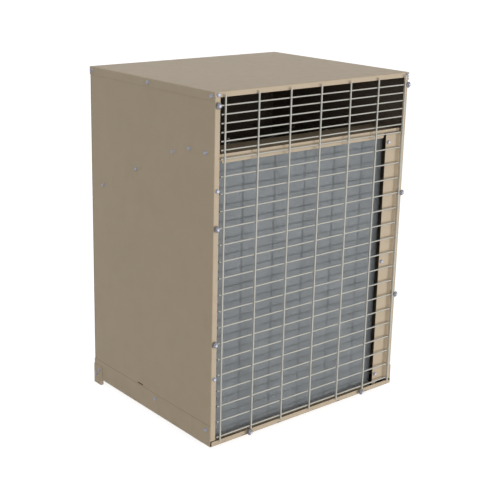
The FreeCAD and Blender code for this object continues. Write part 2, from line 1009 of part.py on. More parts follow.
def rib_places():
    """Where the fins' ribs stand along the coil, all close to the rib pitch apart: the distance
    left of the bend, the angle round the bend and the distance past it."""
    places = []
    straight = coil_bend_across - coil_left
    count = max(int(straight / fin_rib_pitch), 1)
    for step in range(count):
        places.append((straight * (1.0 - (step + 0.5) / count), 0.0, 0.0))
    turn = math.pi / 2.0
    count = max(int(turn * coil_outer_radius / fin_rib_pitch), 1)
    for step in range(count):
        places.append((0.0, turn * (step + 0.5) / count, 0.0))
    count = max(int(coil_leg / fin_rib_pitch), 1)
    for step in range(count):
        places.append((0.0, turn, coil_leg * (step + 0.5) / count))
    return places


def ribbed_face(radius, root):
    """One face of the coil in plan, from the left end to the end of the leg. The radius is that
    of its bend at the ribs' tips, and root is the radius between the ribs."""
    centre = Vector(coil_bend_across, coil_bend_depth, 0.0)
    points = [Vector(coil_left, coil_bend_depth - root, 0.0)]
    for before, angle, past in rib_places():
        along = Vector(math.cos(angle), math.sin(angle), 0.0)
        away = Vector(math.sin(angle), -math.cos(angle), 0.0)
        foot = centre + along * (past - before)
        half = along * (fin_rib_thickness / 2.0)
        points.append(foot + away * root - half)
        points.append(foot + away * radius - half)
        points.append(foot + away * radius + half)
        points.append(foot + away * root + half)
    points.append(Vector(coil_bend_across + root, coil_leg_end, 0.0))
    return points


def condenser_coil():
    """The finned block, from its left end round the bend to the end of its short leg. The outer
    edges of its fins stand clear of the tubes as ribs, one for every few fins."""
    front = ribbed_face(coil_outer_radius, coil_outer_radius - fin_rib_height)
    back = ribbed_face(coil_inner_radius, coil_inner_radius + fin_rib_height)
    outline = flat_face(front + back[::-1])
    outline.translate(Vector(0.0, 0.0, coil_bottom))
    return outline.extrude(Vector(0.0, 0.0, coil_top - coil_bottom))


def coil_end_plates():
    """The tube sheets, each with a flange that reaches the side panel beside it."""
    front = coil_front - end_plate_overlap
    rear = coil_rear + end_plate_overlap
    left_outline = [
        (coil_left, front),
        (coil_left, rear + sheet),
        (inner_left, rear + sheet),
        (inner_left, rear),
        (coil_left - sheet, rear),
        (coil_left - sheet, front),
    ]
    left = plan_profile(left_outline, coil_bottom, coil_top)
    inner = coil_leg_face - coil_depth - end_plate_overlap
    end = coil_leg_end + sheet
    right_outline = [
        (inner, coil_leg_end),
        (inner_right, coil_leg_end),
        (inner_right, end + filler_return),
        (inner_right - sheet, end + filler_return),
        (inner_right - sheet, end),
        (inner, end),
    ]
    right = plan_profile(right_outline, coil_bottom, coil_top)
    return [left, right]


def return_bend_heights():
    count = int((coil_top - coil_bottom) / tube_pitch)
    first = (coil_bottom + coil_top - (count - 1) * tube_pitch) / 2.0
    return [first + tube_pitch * step for step in range(count)]


def coil_return_bends():
    """Half rings that join the front and the back row at the coil's left end. Their section is
    an octagon, which keeps the faces of so many bends few."""
    bends = []
    centre = Vector(coil_left - sheet, coil_front + coil_depth / 2.0, 0.0)
    for height in return_bend_heights():
        points = []
        for step in range(8):
            angle = math.radians(22.5 + 45.0 * step)
            across = row_spacing / 2.0 + tube_radius * math.cos(angle)
            points.append(centre + Vector(0.0, across, height + tube_radius * math.sin(angle)))
        bends.append(flat_face(points).revolve(centre, up, 180.0))
    return bends


def header(x, outlet_height, line_radius):
    """A header pipe at the leg's end, with the short branch that its line is brazed to."""
    low = Vector(x, header_depth, coil_bottom + header_margin)
    high = Vector(x, header_depth, coil_top - header_margin)
    branch_start = Vector(x, header_depth, outlet_height)
    branch_end = Vector(x, header_branch_end(), outlet_height)
    return joined([
        rod(header_radius, low, high),
        rod(line_radius + nozzle_wall, branch_start, branch_end),
    ])


def header_branch_end():
    return header_depth + header_radius + nozzle_length


def coil_headers():
    return [
        header(inner_header_across, discharge_header_height, discharge_radius),
        header(outer_header_across, liquid_height, liquid_radius),
    ]


def compressor_shell():
    """A welded steel can: rounded foot, seam belt, domed top, and two line nozzles."""
    x = compressor_across
    y = compressor_depth_position
    foot = foot_plate_top
    side_top = foot + shell_foot_curve + shell_side_height
    top = side_top + shell_dome_height
    seam = foot + seam_rise
    half = math.sqrt(0.5)
    foot_run = shell_radius - shell_bottom_radius
    foot_mid = Vector(
        shell_bottom_radius + foot_run * half, 0.0, foot + shell_foot_curve * (1.0 - half)
    )
    dome_radius = (shell_radius ** 2 + shell_dome_height ** 2) / (2.0 * shell_dome_height)
    half_dome = math.asin(shell_radius / dome_radius) / 2.0
    dome_mid = Vector(
        dome_radius * math.sin(half_dome), 0.0, top - dome_radius * (1.0 - math.cos(half_dome))
    )
    path = [Vector(shell_radius, 0.0, foot + shell_foot_curve), Vector(shell_radius, 0.0, seam)]
    path.append(Vector(shell_radius + seam_proud, 0.0, seam))
    path.append(Vector(shell_radius + seam_proud, 0.0, seam + seam_height))
    path.append(Vector(shell_radius, 0.0, seam + seam_height))
    path.append(Vector(shell_radius, 0.0, side_top))
    centre_low = Vector(0.0, 0.0, foot)
    edge_low = Vector(shell_bottom_radius, 0.0, foot)
    centre_top = Vector(0.0, 0.0, top)
    edges = [
        Part.LineSegment(centre_low, edge_low).toShape(),
        Part.Arc(edge_low, foot_mid, path[0]).toShape(),
    ]
    for start, end in zip(path, path[1:]):
        edges.append(Part.LineSegment(start, end).toShape())
    edges.append(Part.Arc(path[-1], dome_mid, centre_top).toShape())
    edges.append(Part.LineSegment(centre_top, centre_low).toShape())
    can = Part.Face(Part.Wire(edges)).revolve(origin, up, 360.0)
    can.rotate(origin, up, 225.0)
    can.translate(Vector(x, y, 0.0))
    suction = rod(
        suction_radius + nozzle_wall,
        Vector(x, y + shell_radius / 2.0, suction_height),
        Vector(x, suction_nozzle_end(), suction_height),
    )
    discharge = rod(
        discharge_radius + nozzle_wall,
        Vector(x + shell_radius / 2.0, y, discharge_height),
        Vector(discharge_nozzle_end(), y, discharge_height),
    )
    return joined([can, suction, discharge])


def suction_nozzle_end():
    return compressor_depth_position + shell_radius + nozzle_length


def discharge_nozzle_end():
    return compressor_across + shell_radius + nozzle_length


def compressor_foot_plate():
    half = foot_plate_half
    x = compressor_across
    y = compressor_depth_position
    plate = block(x - half, x + half, y - half, y + half, grommet_top, foot_plate_top)
    return rounded(plate, foot_plate_corner, lambda at, way: abs(way.z) > 0.9)


def foot_bolt_points():
    points = []
    for across in (-foot_bolt_spread, foot_bolt_spread):
        for along in (-foot_bolt_spread, foot_bolt_spread):
            points.append((compressor_across + across, compressor_depth_position + along))
    return points


def compressor_grommets():
    grommets = []
    for x, y in foot_bolt_points():
        grommets.append(rod(grommet_radius, Vector(x, y, pan_floor), Vector(x, y, grommet_top)))
    return grommets


def compressor_bolts():
    bolts = []
    for x, y in foot_bolt_points():
        bolt = hex_prism(foot_bolt_across_flats, foot_bolt_height)
        bolts.append(placed(bolt, Vector(x, y, foot_plate_top), up))
    return bolts


def compressor_terminal_cover():
    """The cap over the compressor's terminals, curved to the can on its back."""
    x = compressor_across
    y = compressor_depth_position
    bottom = foot_plate_top + terminal_rise
    top = bottom + terminal_height
    left = x - shell_radius - terminal_depth
    front = y - terminal_width / 2.0
    cover = block(left, x, front, front + terminal_width, bottom, top)
    below = Vector(x, y, bottom - cutter_overrun)
    can = rod(shell_radius + seam_proud, below, Vector(x, y, top + cutter_overrun))
    return cover.cut(can)


def pipe(points, radius, bend):
    """A tube along straight runs that are joined by arcs of one radius."""
    edges = []
    start = points[0]
    for before, corner, after in zip(points, points[1:], points[2:]):
        into = (corner - before).normalize()
        away = (after - corner).normalize()
        turn = into.getAngle(away)
        setback = bend * math.tan(turn / 2.0)
        arc_start = corner - into * setback
        arc_end = corner + away * setback
        toward_centre = (away - into).normalize()
        depth = bend / math.cos(turn / 2.0) - bend
        arc_mid = corner + toward_centre * depth
        edges.append(Part.LineSegment(start, arc_start).toShape())
        edges.append(Part.Arc(arc_start, arc_mid, arc_end).toShape())
        start = arc_end
    edges.append(Part.LineSegment(start, points[-1]).toShape())
    path = Part.Wire(edges)
    section = Part.Wire(Part.makeCircle(radius, points[0], points[1] - points[0]))
    return path.makePipeShell([section], True, False)


def discharge_line():
    x = inner_header_across
    y = compressor_depth_position
    return pipe(
        [
            Vector(discharge_nozzle_end(), y, discharge_height),
            Vector(x, y, discharge_height),
            Vector(x, y, discharge_header_height),
            Vector(x, header_branch_end(), discharge_header_height),
        ],
        discharge_radius,
        line_bend,
    )


def suction_line():
    return pipe(
        [
            Vector(suction_across, rear_inside - neck_length, suction_height),
            Vector(suction_across, suction_run_depth, suction_height),
            Vector(compressor_across, suction_run_depth, suction_height),
            Vector(compressor_across, suction_nozzle_end(), suction_height),
        ],
        suction_radius,
        line_bend,
    )


def liquid_line():
    """The liquid line in two stretches, before and after the drier."""
    into_drier = pipe(
        [
            Vector(outer_header_across, header_branch_end(), liquid_height),
            Vector(outer_header_across, liquid_turn_depth, liquid_height),
            Vector(liquid_across, liquid_turn_depth, liquid_height),
            Vector(liquid_across, drier_front, liquid_height),
        ],
        liquid_radius,
        liquid_bend,
    )
    out_of_drier = rod(
        liquid_radius,
        Vector(liquid_across, drier_front + drier_length, liquid_height),
        Vector(liquid_across, rear_inside - neck_length, liquid_height),
    )
    return [into_drier, out_of_drier]


def filter_drier():
    neck = liquid_radius + nozzle_wall
    outline = [
        (0.0, 0.0),
        (neck, 0.0),
        (drier_radius, drier_cone),
        (drier_radius, drier_length - drier_cone),
        (neck, drier_length),
        (0.0, drier_length),
    ]
    points = [Vector(radius, 0.0, height) for radius, height in outline]
    can = flat_face(points).revolve(origin, up, 360.0)
    return placed(can, Vector(liquid_across, drier_front, liquid_height), Vector(0.0, 1.0, 0.0))


def neck_radius(line_radius):
    return line_radius + nozzle_wall


def valve_body_radius(line_radius):
    return line_radius + valve_wall


def valve_centre(x, z, line_radius):
    return Vector(x, valve_plane + valve_flange / 2.0 + valve_body_radius(line_radius), z)


def valve_top(z, line_radius):
    return z + 2.0 * line_radius + valve_rise


def stem_radius(line_radius):
    return stem_share * line_radius + stem_core


def valve_plate():
    plate = block(
        suction_across - valve_plate_left_margin,
        liquid_across + valve_plate_right_margin,
        rear_plane,
        valve_plane,
        liquid_height - valve_plate_lower_margin,
        suction_height + valve_plate_upper_margin,
    )
    plate = rounded(plate, valve_plate_corner, lambda at, way: abs(way.y) > 0.9)
    return plate.cut([
        through_rear(neck_radius(suction_radius) + neck_hole_clearance, suction_across, suction_height),
        through_rear(neck_radius(liquid_radius) + neck_hole_clearance, liquid_across, liquid_height),
    ])


def stub_outer(line_radius):
    return stub_bore(line_radius) + stub_wall


def stub_bore(line_radius):
    return line_radius + stub_clearance


def stub_start(x, z, line_radius):
    centre = valve_centre(x, z, line_radius)
    return centre + Vector(0.0, valve_body_radius(line_radius), 0.0)


def service_valve(x, z, line_radius):
    """An angle valve: upright body, flange on the plate, neck to the inside, gland on top, and a
    capped gauge port on its side."""
    centre = valve_centre(x, z, line_radius)
    body_radius = valve_body_radius(line_radius)
    top = valve_top(z, line_radius)
    body_top = top - gland_height
    foot = Vector(x, centre.y, z - body_radius - valve_foot)
    body = rod(body_radius, foot, Vector(x, centre.y, body_top))
    gland = hex_prism(gland_share * body_radius, gland_height)
    gland = placed(gland, Vector(x, centre.y, body_top), up)
    neck = rod(neck_radius(line_radius), Vector(x, rear_inside - neck_length, z), centre)
    flange_end = Vector(x, valve_plane + valve_flange, z)
    flange = rod(body_radius + valve_flange_step, Vector(x, valve_plane, z), flange_end)
    port_end = stub_start(x, z, line_radius) + Vector(0.0, socket_depth, 0.0)
    port = rod(stub_outer(line_radius) + socket_wall, centre, port_end)
    gauge_end = centre + Vector(body_radius + gauge_port_length, 0.0, 0.0)
    gauge_port = rod(gauge_port_radius, centre, gauge_end)
    gauge_cap = hex_prism(gauge_cap_across_flats, gauge_cap_length)
    gauge_cap = placed(gauge_cap, gauge_end, Vector(1.0, 0.0, 0.0))
    solid = joined([body, gland, neck, flange, port, gauge_port, gauge_cap])
    mouth = port_end + Vector(0.0, cutter_overrun, 0.0)
    socket = rod(stub_outer(line_radius), stub_start(x, z, line_radius), mouth)
    bore = rod(
        stem_radius(line_radius) + stem_clearance,
        Vector(x, centre.y, stem_bottom(z, line_radius) - end_clearance),
        Vector(x, centre.y, top + cutter_overrun),
    )
    return solid.cut([socket, bore])


def line_stub(x, z, line_radius):
    """The open copper stub that the field pipe is brazed into."""
    start = stub_start(x, z, line_radius)
    end = start + Vector(0.0, stub_length(line_radius), 0.0)
    return tube(stub_outer(line_radius), stub_bore(line_radius), start, end)


def stub_length(line_radius):
    return stub_reach + line_radius


def stem_bottom(z, line_radius):
    return z + stem_seat_share * line_radius


def valve_stem(x, z, line_radius):
    """The valve's round stem, with a square end for the key."""
    radius = stem_radius(line_radius)
    y = valve_centre(x, z, line_radius).y
    shoulder = valve_top(z, line_radius) + stem_shoulder
    shaft = rod(radius, Vector(x, y, stem_bottom(z, line_radius)), Vector(x, y, shoulder))
    half = key_share * radius
    square = block(x - half, x + half, y - half, y + half, shoulder, shoulder + key_length)
    return joined([shaft, square])


def control_box():
    """A folded box on the left side panel, open to the rear behind the access panel."""
    outer = block(inner_left, box_width, box_front, box_rear, box_bottom, box_top)
    inner = block(
        inner_left + box_sheet,
        box_width - box_sheet,
        box_front + box_sheet,
        box_rear + cutter_overrun,
        box_bottom + box_sheet,
        box_top - box_sheet,
    )
    return outer.cut(inner)


def contactor():
    """A stepped relay block, with the pocket that its plunger slides in."""
    wall = box_front + box_sheet
    left = contactor_left
    right = left + contactor_width
    bottom = contactor_bottom
    top = bottom + contactor_height
    face = wall + contactor_depth
    base = block(left, right, wall, wall + contactor_base, bottom, top)
    core = block(left, right, wall, face, bottom + contactor_step, top - contactor_step)
    pocket = plunger_block(plunger_clearance, face - plunger_pocket, face + cutter_overrun)
    return joined([base, core]).cut(pocket)


def plunger_block(margin, y0, y1):
    x = contactor_left + contactor_width / 2.0
    z = contactor_bottom + contactor_height / 2.0
    half_width = plunger_width / 2.0 + margin
    half_height = plunger_height / 2.0 + margin
    return block(x - half_width, x + half_width, y0, y1, z - half_height, z + half_height)


def contactor_plunger():
    end = box_front + box_sheet + contactor_depth + plunger_proud
    return plunger_block(0.0, end - plunger_length, end)


def run_capacitor():
    """A round can with a crimped rim and two blade terminals."""
    y = box_front + box_sheet + capacitor_radius + strap_thickness
    x = capacitor_across
    top = capacitor_bottom + capacitor_height
    can = rod(capacitor_radius, Vector(x, y, capacitor_bottom), Vector(x, y, top))
    pieces = [can]
    for side in (-0.5, 0.5):
        tab_across = x + side * tab_spacing
        pieces.append(block(
            tab_across - tab_width / 2.0,
            tab_across + tab_width / 2.0,
            y - tab_thickness / 2.0,
            y + tab_thickness / 2.0,
            top,
            top + tab_length,
        ))
    return joined(pieces)


def capacitor_strap():
    """The band round the capacitor, with two feet on the box's wall."""
    wall = box_front + box_sheet
    y = wall + capacitor_radius + strap_thickness
    x = capacitor_across
    low = capacitor_bottom + strap_rise
    high = low + strap_height
    outer_radius = capacitor_radius + strap_thickness
    band = rod(outer_radius, Vector(x, y, low), Vector(x, y, high))
    reach = outer_radius + strap_foot
    feet = block(x - reach, x + reach, wall, wall + strap_thickness, low, high)
    cheeks = block(x - outer_radius, x + outer_radius, wall, y, low, high)
    below = low - cutter_overrun
    above = high + cutter_overrun
    hollow = block(x - capacitor_radius, x + capacitor_radius, wall - cutter_overrun, y, below, above)
    can = rod(capacitor_radius, Vector(x, y, below), Vector(x, y, above))
    return joined([band, feet, cheeks]).cut([can, hollow])


def pressure_switch():
    """The high-pressure switch behind the rear panel, with the pocket of its reset button."""
    face = Vector(switch_across, rear_inside, switch_height)
    start = face - Vector(0.0, switch_length, 0.0)
    pocket_start = face - Vector(0.0, button_pocket, 0.0)
    pocket = rod(button_radius + button_clearance, pocket_start, face + Vector(0.0, cutter_overrun, 0.0))
    return rod(switch_radius, start, face).cut(pocket)


def pressure_reset_button():
    end = Vector(switch_across, rear_plane + button_proud, switch_height)
    return rod(button_radius, end - Vector(0.0, button_length, 0.0), end)


def switch_capillary():
    """The thin tube from the switch to a collar that is brazed round the discharge line."""
    run = rear_inside - capillary_run_setback
    line = Vector(inner_header_across, compressor_depth_position, switch_height)
    thread = pipe(
        [
            Vector(switch_across, rear_inside - switch_length, switch_height),
            Vector(switch_across, run, switch_height),
            Vector(inner_header_across, run, switch_height),
            line,
        ],
        capillary_radius,
        capillary_bend,
    )
    half = Vector(0.0, 0.0, capillary_collar_height / 2.0)
    collar = rod(discharge_radius + capillary_collar_wall, line - half, line + half)
    inside = rod(discharge_radius, line - half * 2.0, line + half * 2.0)
    return joined([thread, collar]).cut(inside)


def fan_motor():
    """The motor hangs below the orifice, in line with the fan; its shaft seat is open on top."""
    bottom = motor_top - motor_length
    can = Part.makeCylinder(motor_radius, motor_length, Vector(0.0, 0.0, bottom))
    rims = [edge for edge in can.Edges if isinstance(edge.Curve, Part.Circle)]
    can = can.makeChamfer(motor_chamfer, rims)
    bearing = Part.makeCylinder(bearing_radius, bearing_height, Vector(0.0, 0.0, motor_top))
    seat_bottom = motor_top - shaft_seat_depth - end_clearance
    seat = Part.makeCylinder(
        shaft_radius + running_clearance, motor_length, Vector(0.0, 0.0, seat_bottom)
    )
    return on_slope(joined([can, bearing]).cut(seat))


def motor_bracket():
    """A band round the motor, with four arms that reach up to the deck's underside."""
    band_top = -arm_depth + arm_thickness
    band = Part.makeCylinder(
        motor_radius + band_thickness, band_height, Vector(0.0, 0.0, band_top - band_height)
    )
    hole_bottom = Vector(0.0, 0.0, band_top - 1.5 * band_height)
    hole = Part.makeCylinder(motor_radius, 2.0 * band_height, hole_bottom)
    pieces = [band]
    reach = math.hypot(arm_end_across, arm_end_down)
    inner_end = reach - arm_pad_length / 2.0
    outer_end = reach + arm_pad_length / 2.0
    outline = [
        (motor_radius, -arm_depth),
        (inner_end, -arm_depth),
        (inner_end, -sheet - arm_thickness),
        (outer_end, -sheet - arm_thickness),
        (outer_end, -sheet),
        (inner_end - arm_thickness, -sheet),
        (inner_end - arm_thickness, -arm_depth + arm_thickness),
        (motor_radius, -arm_depth + arm_thickness),
    ]
    points = [Vector(radius, -arm_width / 2.0, height) for radius, height in outline]
    arm = flat_face(points).extrude(Vector(0.0, arm_width, 0.0))
    for across in (-arm_end_across, arm_end_across):
        for down in (-arm_end_down, arm_end_down):
            turned = arm.copy()
            angle = math.degrees(math.atan2(down, across))
            turned.rotate(origin, up, angle)
            pieces.append(turned)
    return on_slope(joined(pieces).cut(hole))


def motor_bolts():
    """Bolt heads on the deck, above the bracket's four pads."""
    bolts = []
    for across in (-arm_end_across, arm_end_across):
        for down in (-arm_end_down, arm_end_down):
            head = hex_prism(head_across_flats, head_height)
            head.translate(Vector(across, down, 0.0))
            bolts.append(on_slope(head))
    return bolts


def blade_section(radius, width, leading, trailing):
    """A thin cambered strip across the blade, in the plane square to the blade's length."""
    front = Vector(radius, -width / 2.0, leading)
    rear = Vector(radius, width / 2.0, trailing)
    middle_point = (front + rear) * 0.5 - Vector(0.0, 0.0, blade_camber)
    drop = Vector(0.0, 0.0, -blade_thickness)
    upper = Part.Arc(front, middle_point, rear).toShape()
    lower = Part.Arc(front + drop, middle_point + drop, rear + drop).toShape()
    return Part.Wire([
        upper,
        Part.LineSegment(rear, rear + drop).toShape(),
        lower,
        Part.LineSegment(front + drop, front).toShape(),
    ])


def fan_blade():
    """One blade: a twisted cambered plate, trimmed to a rounded paddle."""
    plate = Part.makeLoft([blade_section(*section) for section in blade_sections], True, False)
    tip_half = blade_tip_half_width
    tip = math.sqrt(fan_radius ** 2 - tip_half ** 2)
    low = boss_bottom - blade_trim_margin
    corners = [
        Vector(blade_root_radius, -blade_root_half_width, low),
        Vector(tip, -tip_half, low),
        Vector(tip, tip_half, low),
        Vector(blade_root_radius, blade_root_half_width, low),
    ]
    outline = Part.Wire([
        Part.LineSegment(corners[0], corners[1]).toShape(),
        Part.Arc(corners[1], Vector(fan_radius, 0.0, low), corners[2]).toShape(),
        Part.LineSegment(corners[2], corners[3]).toShape(),
        Part.LineSegment(corners[3], corners[0]).toShape(),
    ])
    paddle = Part.Face(outline).extrude(Vector(0.0, 0.0, boss_top + blade_trim_margin - low))
    paddle = rounded(
        paddle,
        blade_tip_corner,
        lambda at, way: abs(way.z) > 0.9 and at.x > boss_radius,
    )
    return plate.common(paddle)


def fan_impeller():
    """Three blades moulded in one piece with the boss in the middle."""
    boss = Part.makeCylinder(boss_radius, boss_top - boss_bottom, Vector(0.0, 0.0, boss_bottom))
    blade = fan_blade()
    pieces = [boss]
    for step in range(blade_count):
        turned = blade.copy()
        angle = rest_angle + 360.0 / blade_count * step
        turned.rotate(origin, up, angle)
        pieces.append(turned)
    hole = Part.makeCylinder(bushing_radius, 2.0 * boss_top, Vector(0.0, 0.0, boss_bottom - cutter_overrun))
    return on_slope(joined(pieces).cut(hole))


def fan_bushing():
    bottom = boss_bottom - bushing_overhang
    length = boss_top - boss_bottom + 2.0 * bushing_overhang
    bushing = Part.makeCylinder(bushing_radius, length, Vector(0.0, 0.0, bottom))
    bore = Part.makeCylinder(shaft_radius, 2.0 * length, Vector(0.0, 0.0, bottom - cutter_overrun))
    return on_slope(bushing.cut(bore))


def fan_shaft():
    bottom = motor_top - shaft_seat_depth
    top = boss_top + bushing_overhang + shaft_overhang
    return on_slope(Part.makeCylinder(shaft_radius, top - bottom, Vector(0.0, 0.0, bottom)))


def reference_shift():
    """From the cabinet's corner to the middle of the whole part's footprint, on the ground."""
    front = wire_front - clamp_washer - head_height
    stub = stub_start(suction_across, suction_height, suction_radius)
    rear = stub.y + stub_length(suction_radius)
    return Vector(-middle, -(front + rear) / 2.0, rail_height)


def save(name, solids):
    """Write one node, moved to the part's reference point."""
    whole = []
    for piece in solids:
        whole += piece.Solids
    shape = whole[0] if len(whole) == 1 else Part.makeCompound(whole)
    shape.translate(reference_shift())
    shape.exportStep("parts/%s.step" % name)


def main():
    os.makedirs("parts", exist_ok=True)
    suction = (suction_across, suction_height, suction_radius)
    liquid = (liquid_across, liquid_height, liquid_radius)
    left_panel = left_side_panel()
    nodes = {
        "base_pan": [base_pan()],
        "front_support_rail": [front_support_rail()],
        "rear_foot_rail": [rear_foot_rail()],
        "left_side_panel": [left_panel],
        "right_side_panel": [on_right(left_panel)],
        "top_cover": [top_cover()],
        "rear_panel": [rear_panel()],
        "service_access_panel": [service_access_panel()],
        "fan_deck": [fan_deck()],
        "corner_filler_panel": [corner_filler_panel()],
        "corner_post": [corner_post()],
        "coil_top_channel": [coil_top_channel()],
        "coil_support_rail": [coil_support_rail()],
        "plenum_liner": plenum_liner(),
        "grille_vertical_wires": vertical_wires(),
        "grille_cross_wires": cross_wires(),
        "grille_clamps": grille_clamps(),
        "top_cover_screws": top_cover_screws(),
        "deck_screws": deck_screws(),
        "front_flange_screws": front_flange_screws(),
        "base_screws": both_sides(base_screws_at, 0.0),
        "foot_rail_screws": both_sides(foot_screws_at, -sheet),
        "filler_panel_screws": facing(
            [(filler_screw_across, height) for height in filler_screw_heights], deck_front, -1.0
        ),
        "rear_panel_screws": rear_panel_screws(),
        "access_panel_screws": access_panel_screws(),
        "condenser_coil": [condenser_coil()],
        "coil_end_plates": coil_end_plates(),
        "coil_return_bends": coil_return_bends(),
        "coil_headers": coil_headers(),
        "compressor_shell": [compressor_shell()],
        "compressor_foot_plate": [compressor_foot_plate()],
        "compressor_grommets": compressor_grommets(),
        "compressor_bolts": compressor_bolts(),
        "compressor_terminal_cover": [compressor_terminal_cover()],
        "discharge_line": [discharge_line(), switch_capillary()],
        "suction_line": [suction_line()],
        "liquid_line": liquid_line(),
        "filter_drier": [filter_drier()],
        "valve_plate": [valve_plate()],
        "suction_service_valve": [service_valve(*suction)],
        "liquid_service_valve": [service_valve(*liquid)],
        "suction_line_stub": [line_stub(*suction)],
        "liquid_line_stub": [line_stub(*liquid)],
        "suction_valve_stem": [valve_stem(*suction)],
        "liquid_valve_stem": [valve_stem(*liquid)],
        "control_box": [control_box()],
        "contactor": [contactor()],
        "contactor_plunger": [contactor_plunger()],
        "run_capacitor": [run_capacitor()],
        "capacitor_strap": [capacitor_strap()],
        "pressure_switch": [pressure_switch()],
        "pressure_reset_button": [pressure_reset_button()],
        "fan_motor": [fan_motor()],
        "motor_bracket": [motor_bracket()],
        "motor_bolts": motor_bolts(),
        "fan_impeller": [fan_impeller()],
        "fan_bushing": [fan_bushing()],
        "fan_shaft": [fan_shaft()],
    }
    for name, solids in nodes.items():
        save(name, solids)


main()
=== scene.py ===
"""The looks of a condensing unit: materials for its CAD pieces, and fine pieces to dress them.

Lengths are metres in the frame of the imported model: X to the right, Y to the rear, Z up.
"""

import json
import math
import random

import bmesh
import bpy
from mathutils import Matrix, Vector

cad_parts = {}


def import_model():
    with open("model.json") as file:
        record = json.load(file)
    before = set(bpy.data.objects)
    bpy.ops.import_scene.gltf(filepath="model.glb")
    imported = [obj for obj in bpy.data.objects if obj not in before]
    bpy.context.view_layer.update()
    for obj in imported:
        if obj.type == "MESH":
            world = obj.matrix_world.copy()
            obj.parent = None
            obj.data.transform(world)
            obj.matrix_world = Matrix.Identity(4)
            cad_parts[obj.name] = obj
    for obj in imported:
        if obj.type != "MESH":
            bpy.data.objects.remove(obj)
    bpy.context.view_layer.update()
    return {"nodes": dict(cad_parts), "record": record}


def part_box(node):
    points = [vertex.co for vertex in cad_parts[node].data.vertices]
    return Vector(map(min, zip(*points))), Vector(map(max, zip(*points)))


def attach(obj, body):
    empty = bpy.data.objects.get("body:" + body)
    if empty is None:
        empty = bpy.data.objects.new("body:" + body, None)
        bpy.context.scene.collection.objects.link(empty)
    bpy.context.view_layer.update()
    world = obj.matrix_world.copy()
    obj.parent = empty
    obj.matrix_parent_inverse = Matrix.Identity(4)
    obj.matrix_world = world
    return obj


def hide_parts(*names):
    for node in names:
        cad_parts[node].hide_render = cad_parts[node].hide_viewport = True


CABINET = "cabinet"

# The camera that took the photograph
CAMERA_PLACE = Vector((-1.8084, -2.1735, 1.2838))
CAMERA_YAW = math.radians(38.614)
CAMERA_PITCH = math.radians(15.395)
CAMERA_ROLL = math.radians(0.932)
FOCAL_LENGTH = 75.273
SENSOR_WIDTH = 36.0
CAMERA_SHIFT = (0.0601, -0.0692)
NEAREST_SEEN = 0.05
FARTHEST_SEEN = 200.0

# Light: each level is what the light adds to a surface that faces it, where 1 renders a colour
# as it is written. The front panel, whose power is in watts, is wide, so that a wire's shadow
# blurs with distance
SKY_LEVEL = 0.47
KEY_LEVEL = 0.25
KEY_TRAVEL = Vector((-0.77, 1.0, 0.29))
KEY_SOFTNESS = math.radians(4.5)
PANEL_POWER = 39.0
PANEL_PLACE = Vector((0.60, -3.30, 0.45))
PANEL_WIDTH = 4.8
PANEL_HEIGHT = 2.76
LEFT_LEVEL = 0.08
LEFT_TRAVEL = Vector((1.0, 0.45, -0.10))
LEFT_SOFTNESS = math.radians(60.0)
SUN_DISTANCE = 6.0
FLOOR_SIZE = 40.0
FLOOR_TONE = 0.45
FLOOR_GLOW = 0.88

# Shading: the sharpest turn that is still shaded as round, in degrees, and how close corners of
# a CAD node are when they are one
CAD_ROUND_ANGLE = 32.0
PIECE_ROUND_ANGLE = 35.0
FIN_ROUND_ANGLE = 20.0
WELD_ROUND_ANGLE = 80.0
SAME_CORNER = 1e-6
EDGE_SAMPLES = 4

# Wear and grime, each from where it begins to where it is full: along edges as the cosine between
# a face and its rounded edge, near the ground as a height, and painted shade on the base pan's
# floor as heights
EDGE_WEAR = (0.995, 0.85)
GROUND_GRIME = (0.05, 0.0)
PAN_FLOOR_SHADE = (0.0215, 0.0195)

# The coil. Lean, wobble and dents move a fin's front edge sideways, by these shares of FIN_BEND
FIN_PITCH = 0.0019
FIN_THICKNESS = 0.00026
FIN_STATIONS = 28
FIN_INSET = 0.0002
FIN_BEND = 0.00012
LEAN_SHARE = 0.4
WOBBLE_SHARE = 0.5
DENT_SHARE = 2.6
DENT_COUNT = 26
DENT_REACH = (0.010, 0.035)
FIN_LIP_WIDTH = 0.0007
FIN_LIP_DEPTH = 0.0004
FIN_FOLD = 0.0017
COIL_DEPTH = 0.0381
COIL_INNER_RADIUS = 0.038
TUBE_RADIUS = 0.0047
TUBE_SIDES = 10
TUBE_ROW_SPACING = 0.01905
TUBE_PITCH = 0.0381
ARC_STEPS = 10

# The outlet chamber's lining: its sheets, and the strips that close its rear corners
BACK_SHEET = 0.0025
TOP_SHEET = 0.0032
STRIP_THICKNESS = 0.0016
STRIP_NEAR = 0.0030
STRIP_FAR = 0.0178
STRIP_RISE = 0.022

# Screw heads. A rolled edge's radius, the round top's and the dish's are shares of the full one
HEAD_ACROSS_FLATS = 0.008
HEAD_HEIGHT = 0.005
HEAD_FLANGE_RADIUS = 0.0053
HEAD_FLANGE_HEIGHT = 0.0009
HEAD_ROLLED_EDGE = 0.97
HEAD_FILLET = 0.0003
HEAD_CHAMFER = math.radians(28.0)
HEAD_CHAMFER_DROP = 0.00025
HEAD_TOP = 0.97
HEAD_DISH = 0.62
HEAD_DISH_DEPTH = 0.0006
WASHER_RADIUS = 0.008
WASHER_THICKNESS = 0.0012
WASHER_ROLLED_EDGE = 0.955
SHANK_RADIUS = 0.0021
SHANK_STEPS = 12
HEAD_STEPS = 36

# The grille
WELD_LENGTH = 0.0030
WELD_WIDTH = 0.0022
WELD_DEPTH = 0.45 * WELD_WIDTH
WELD_SECTIONS = (-0.8, 0.0, 0.8)
WELD_STEPS = 8


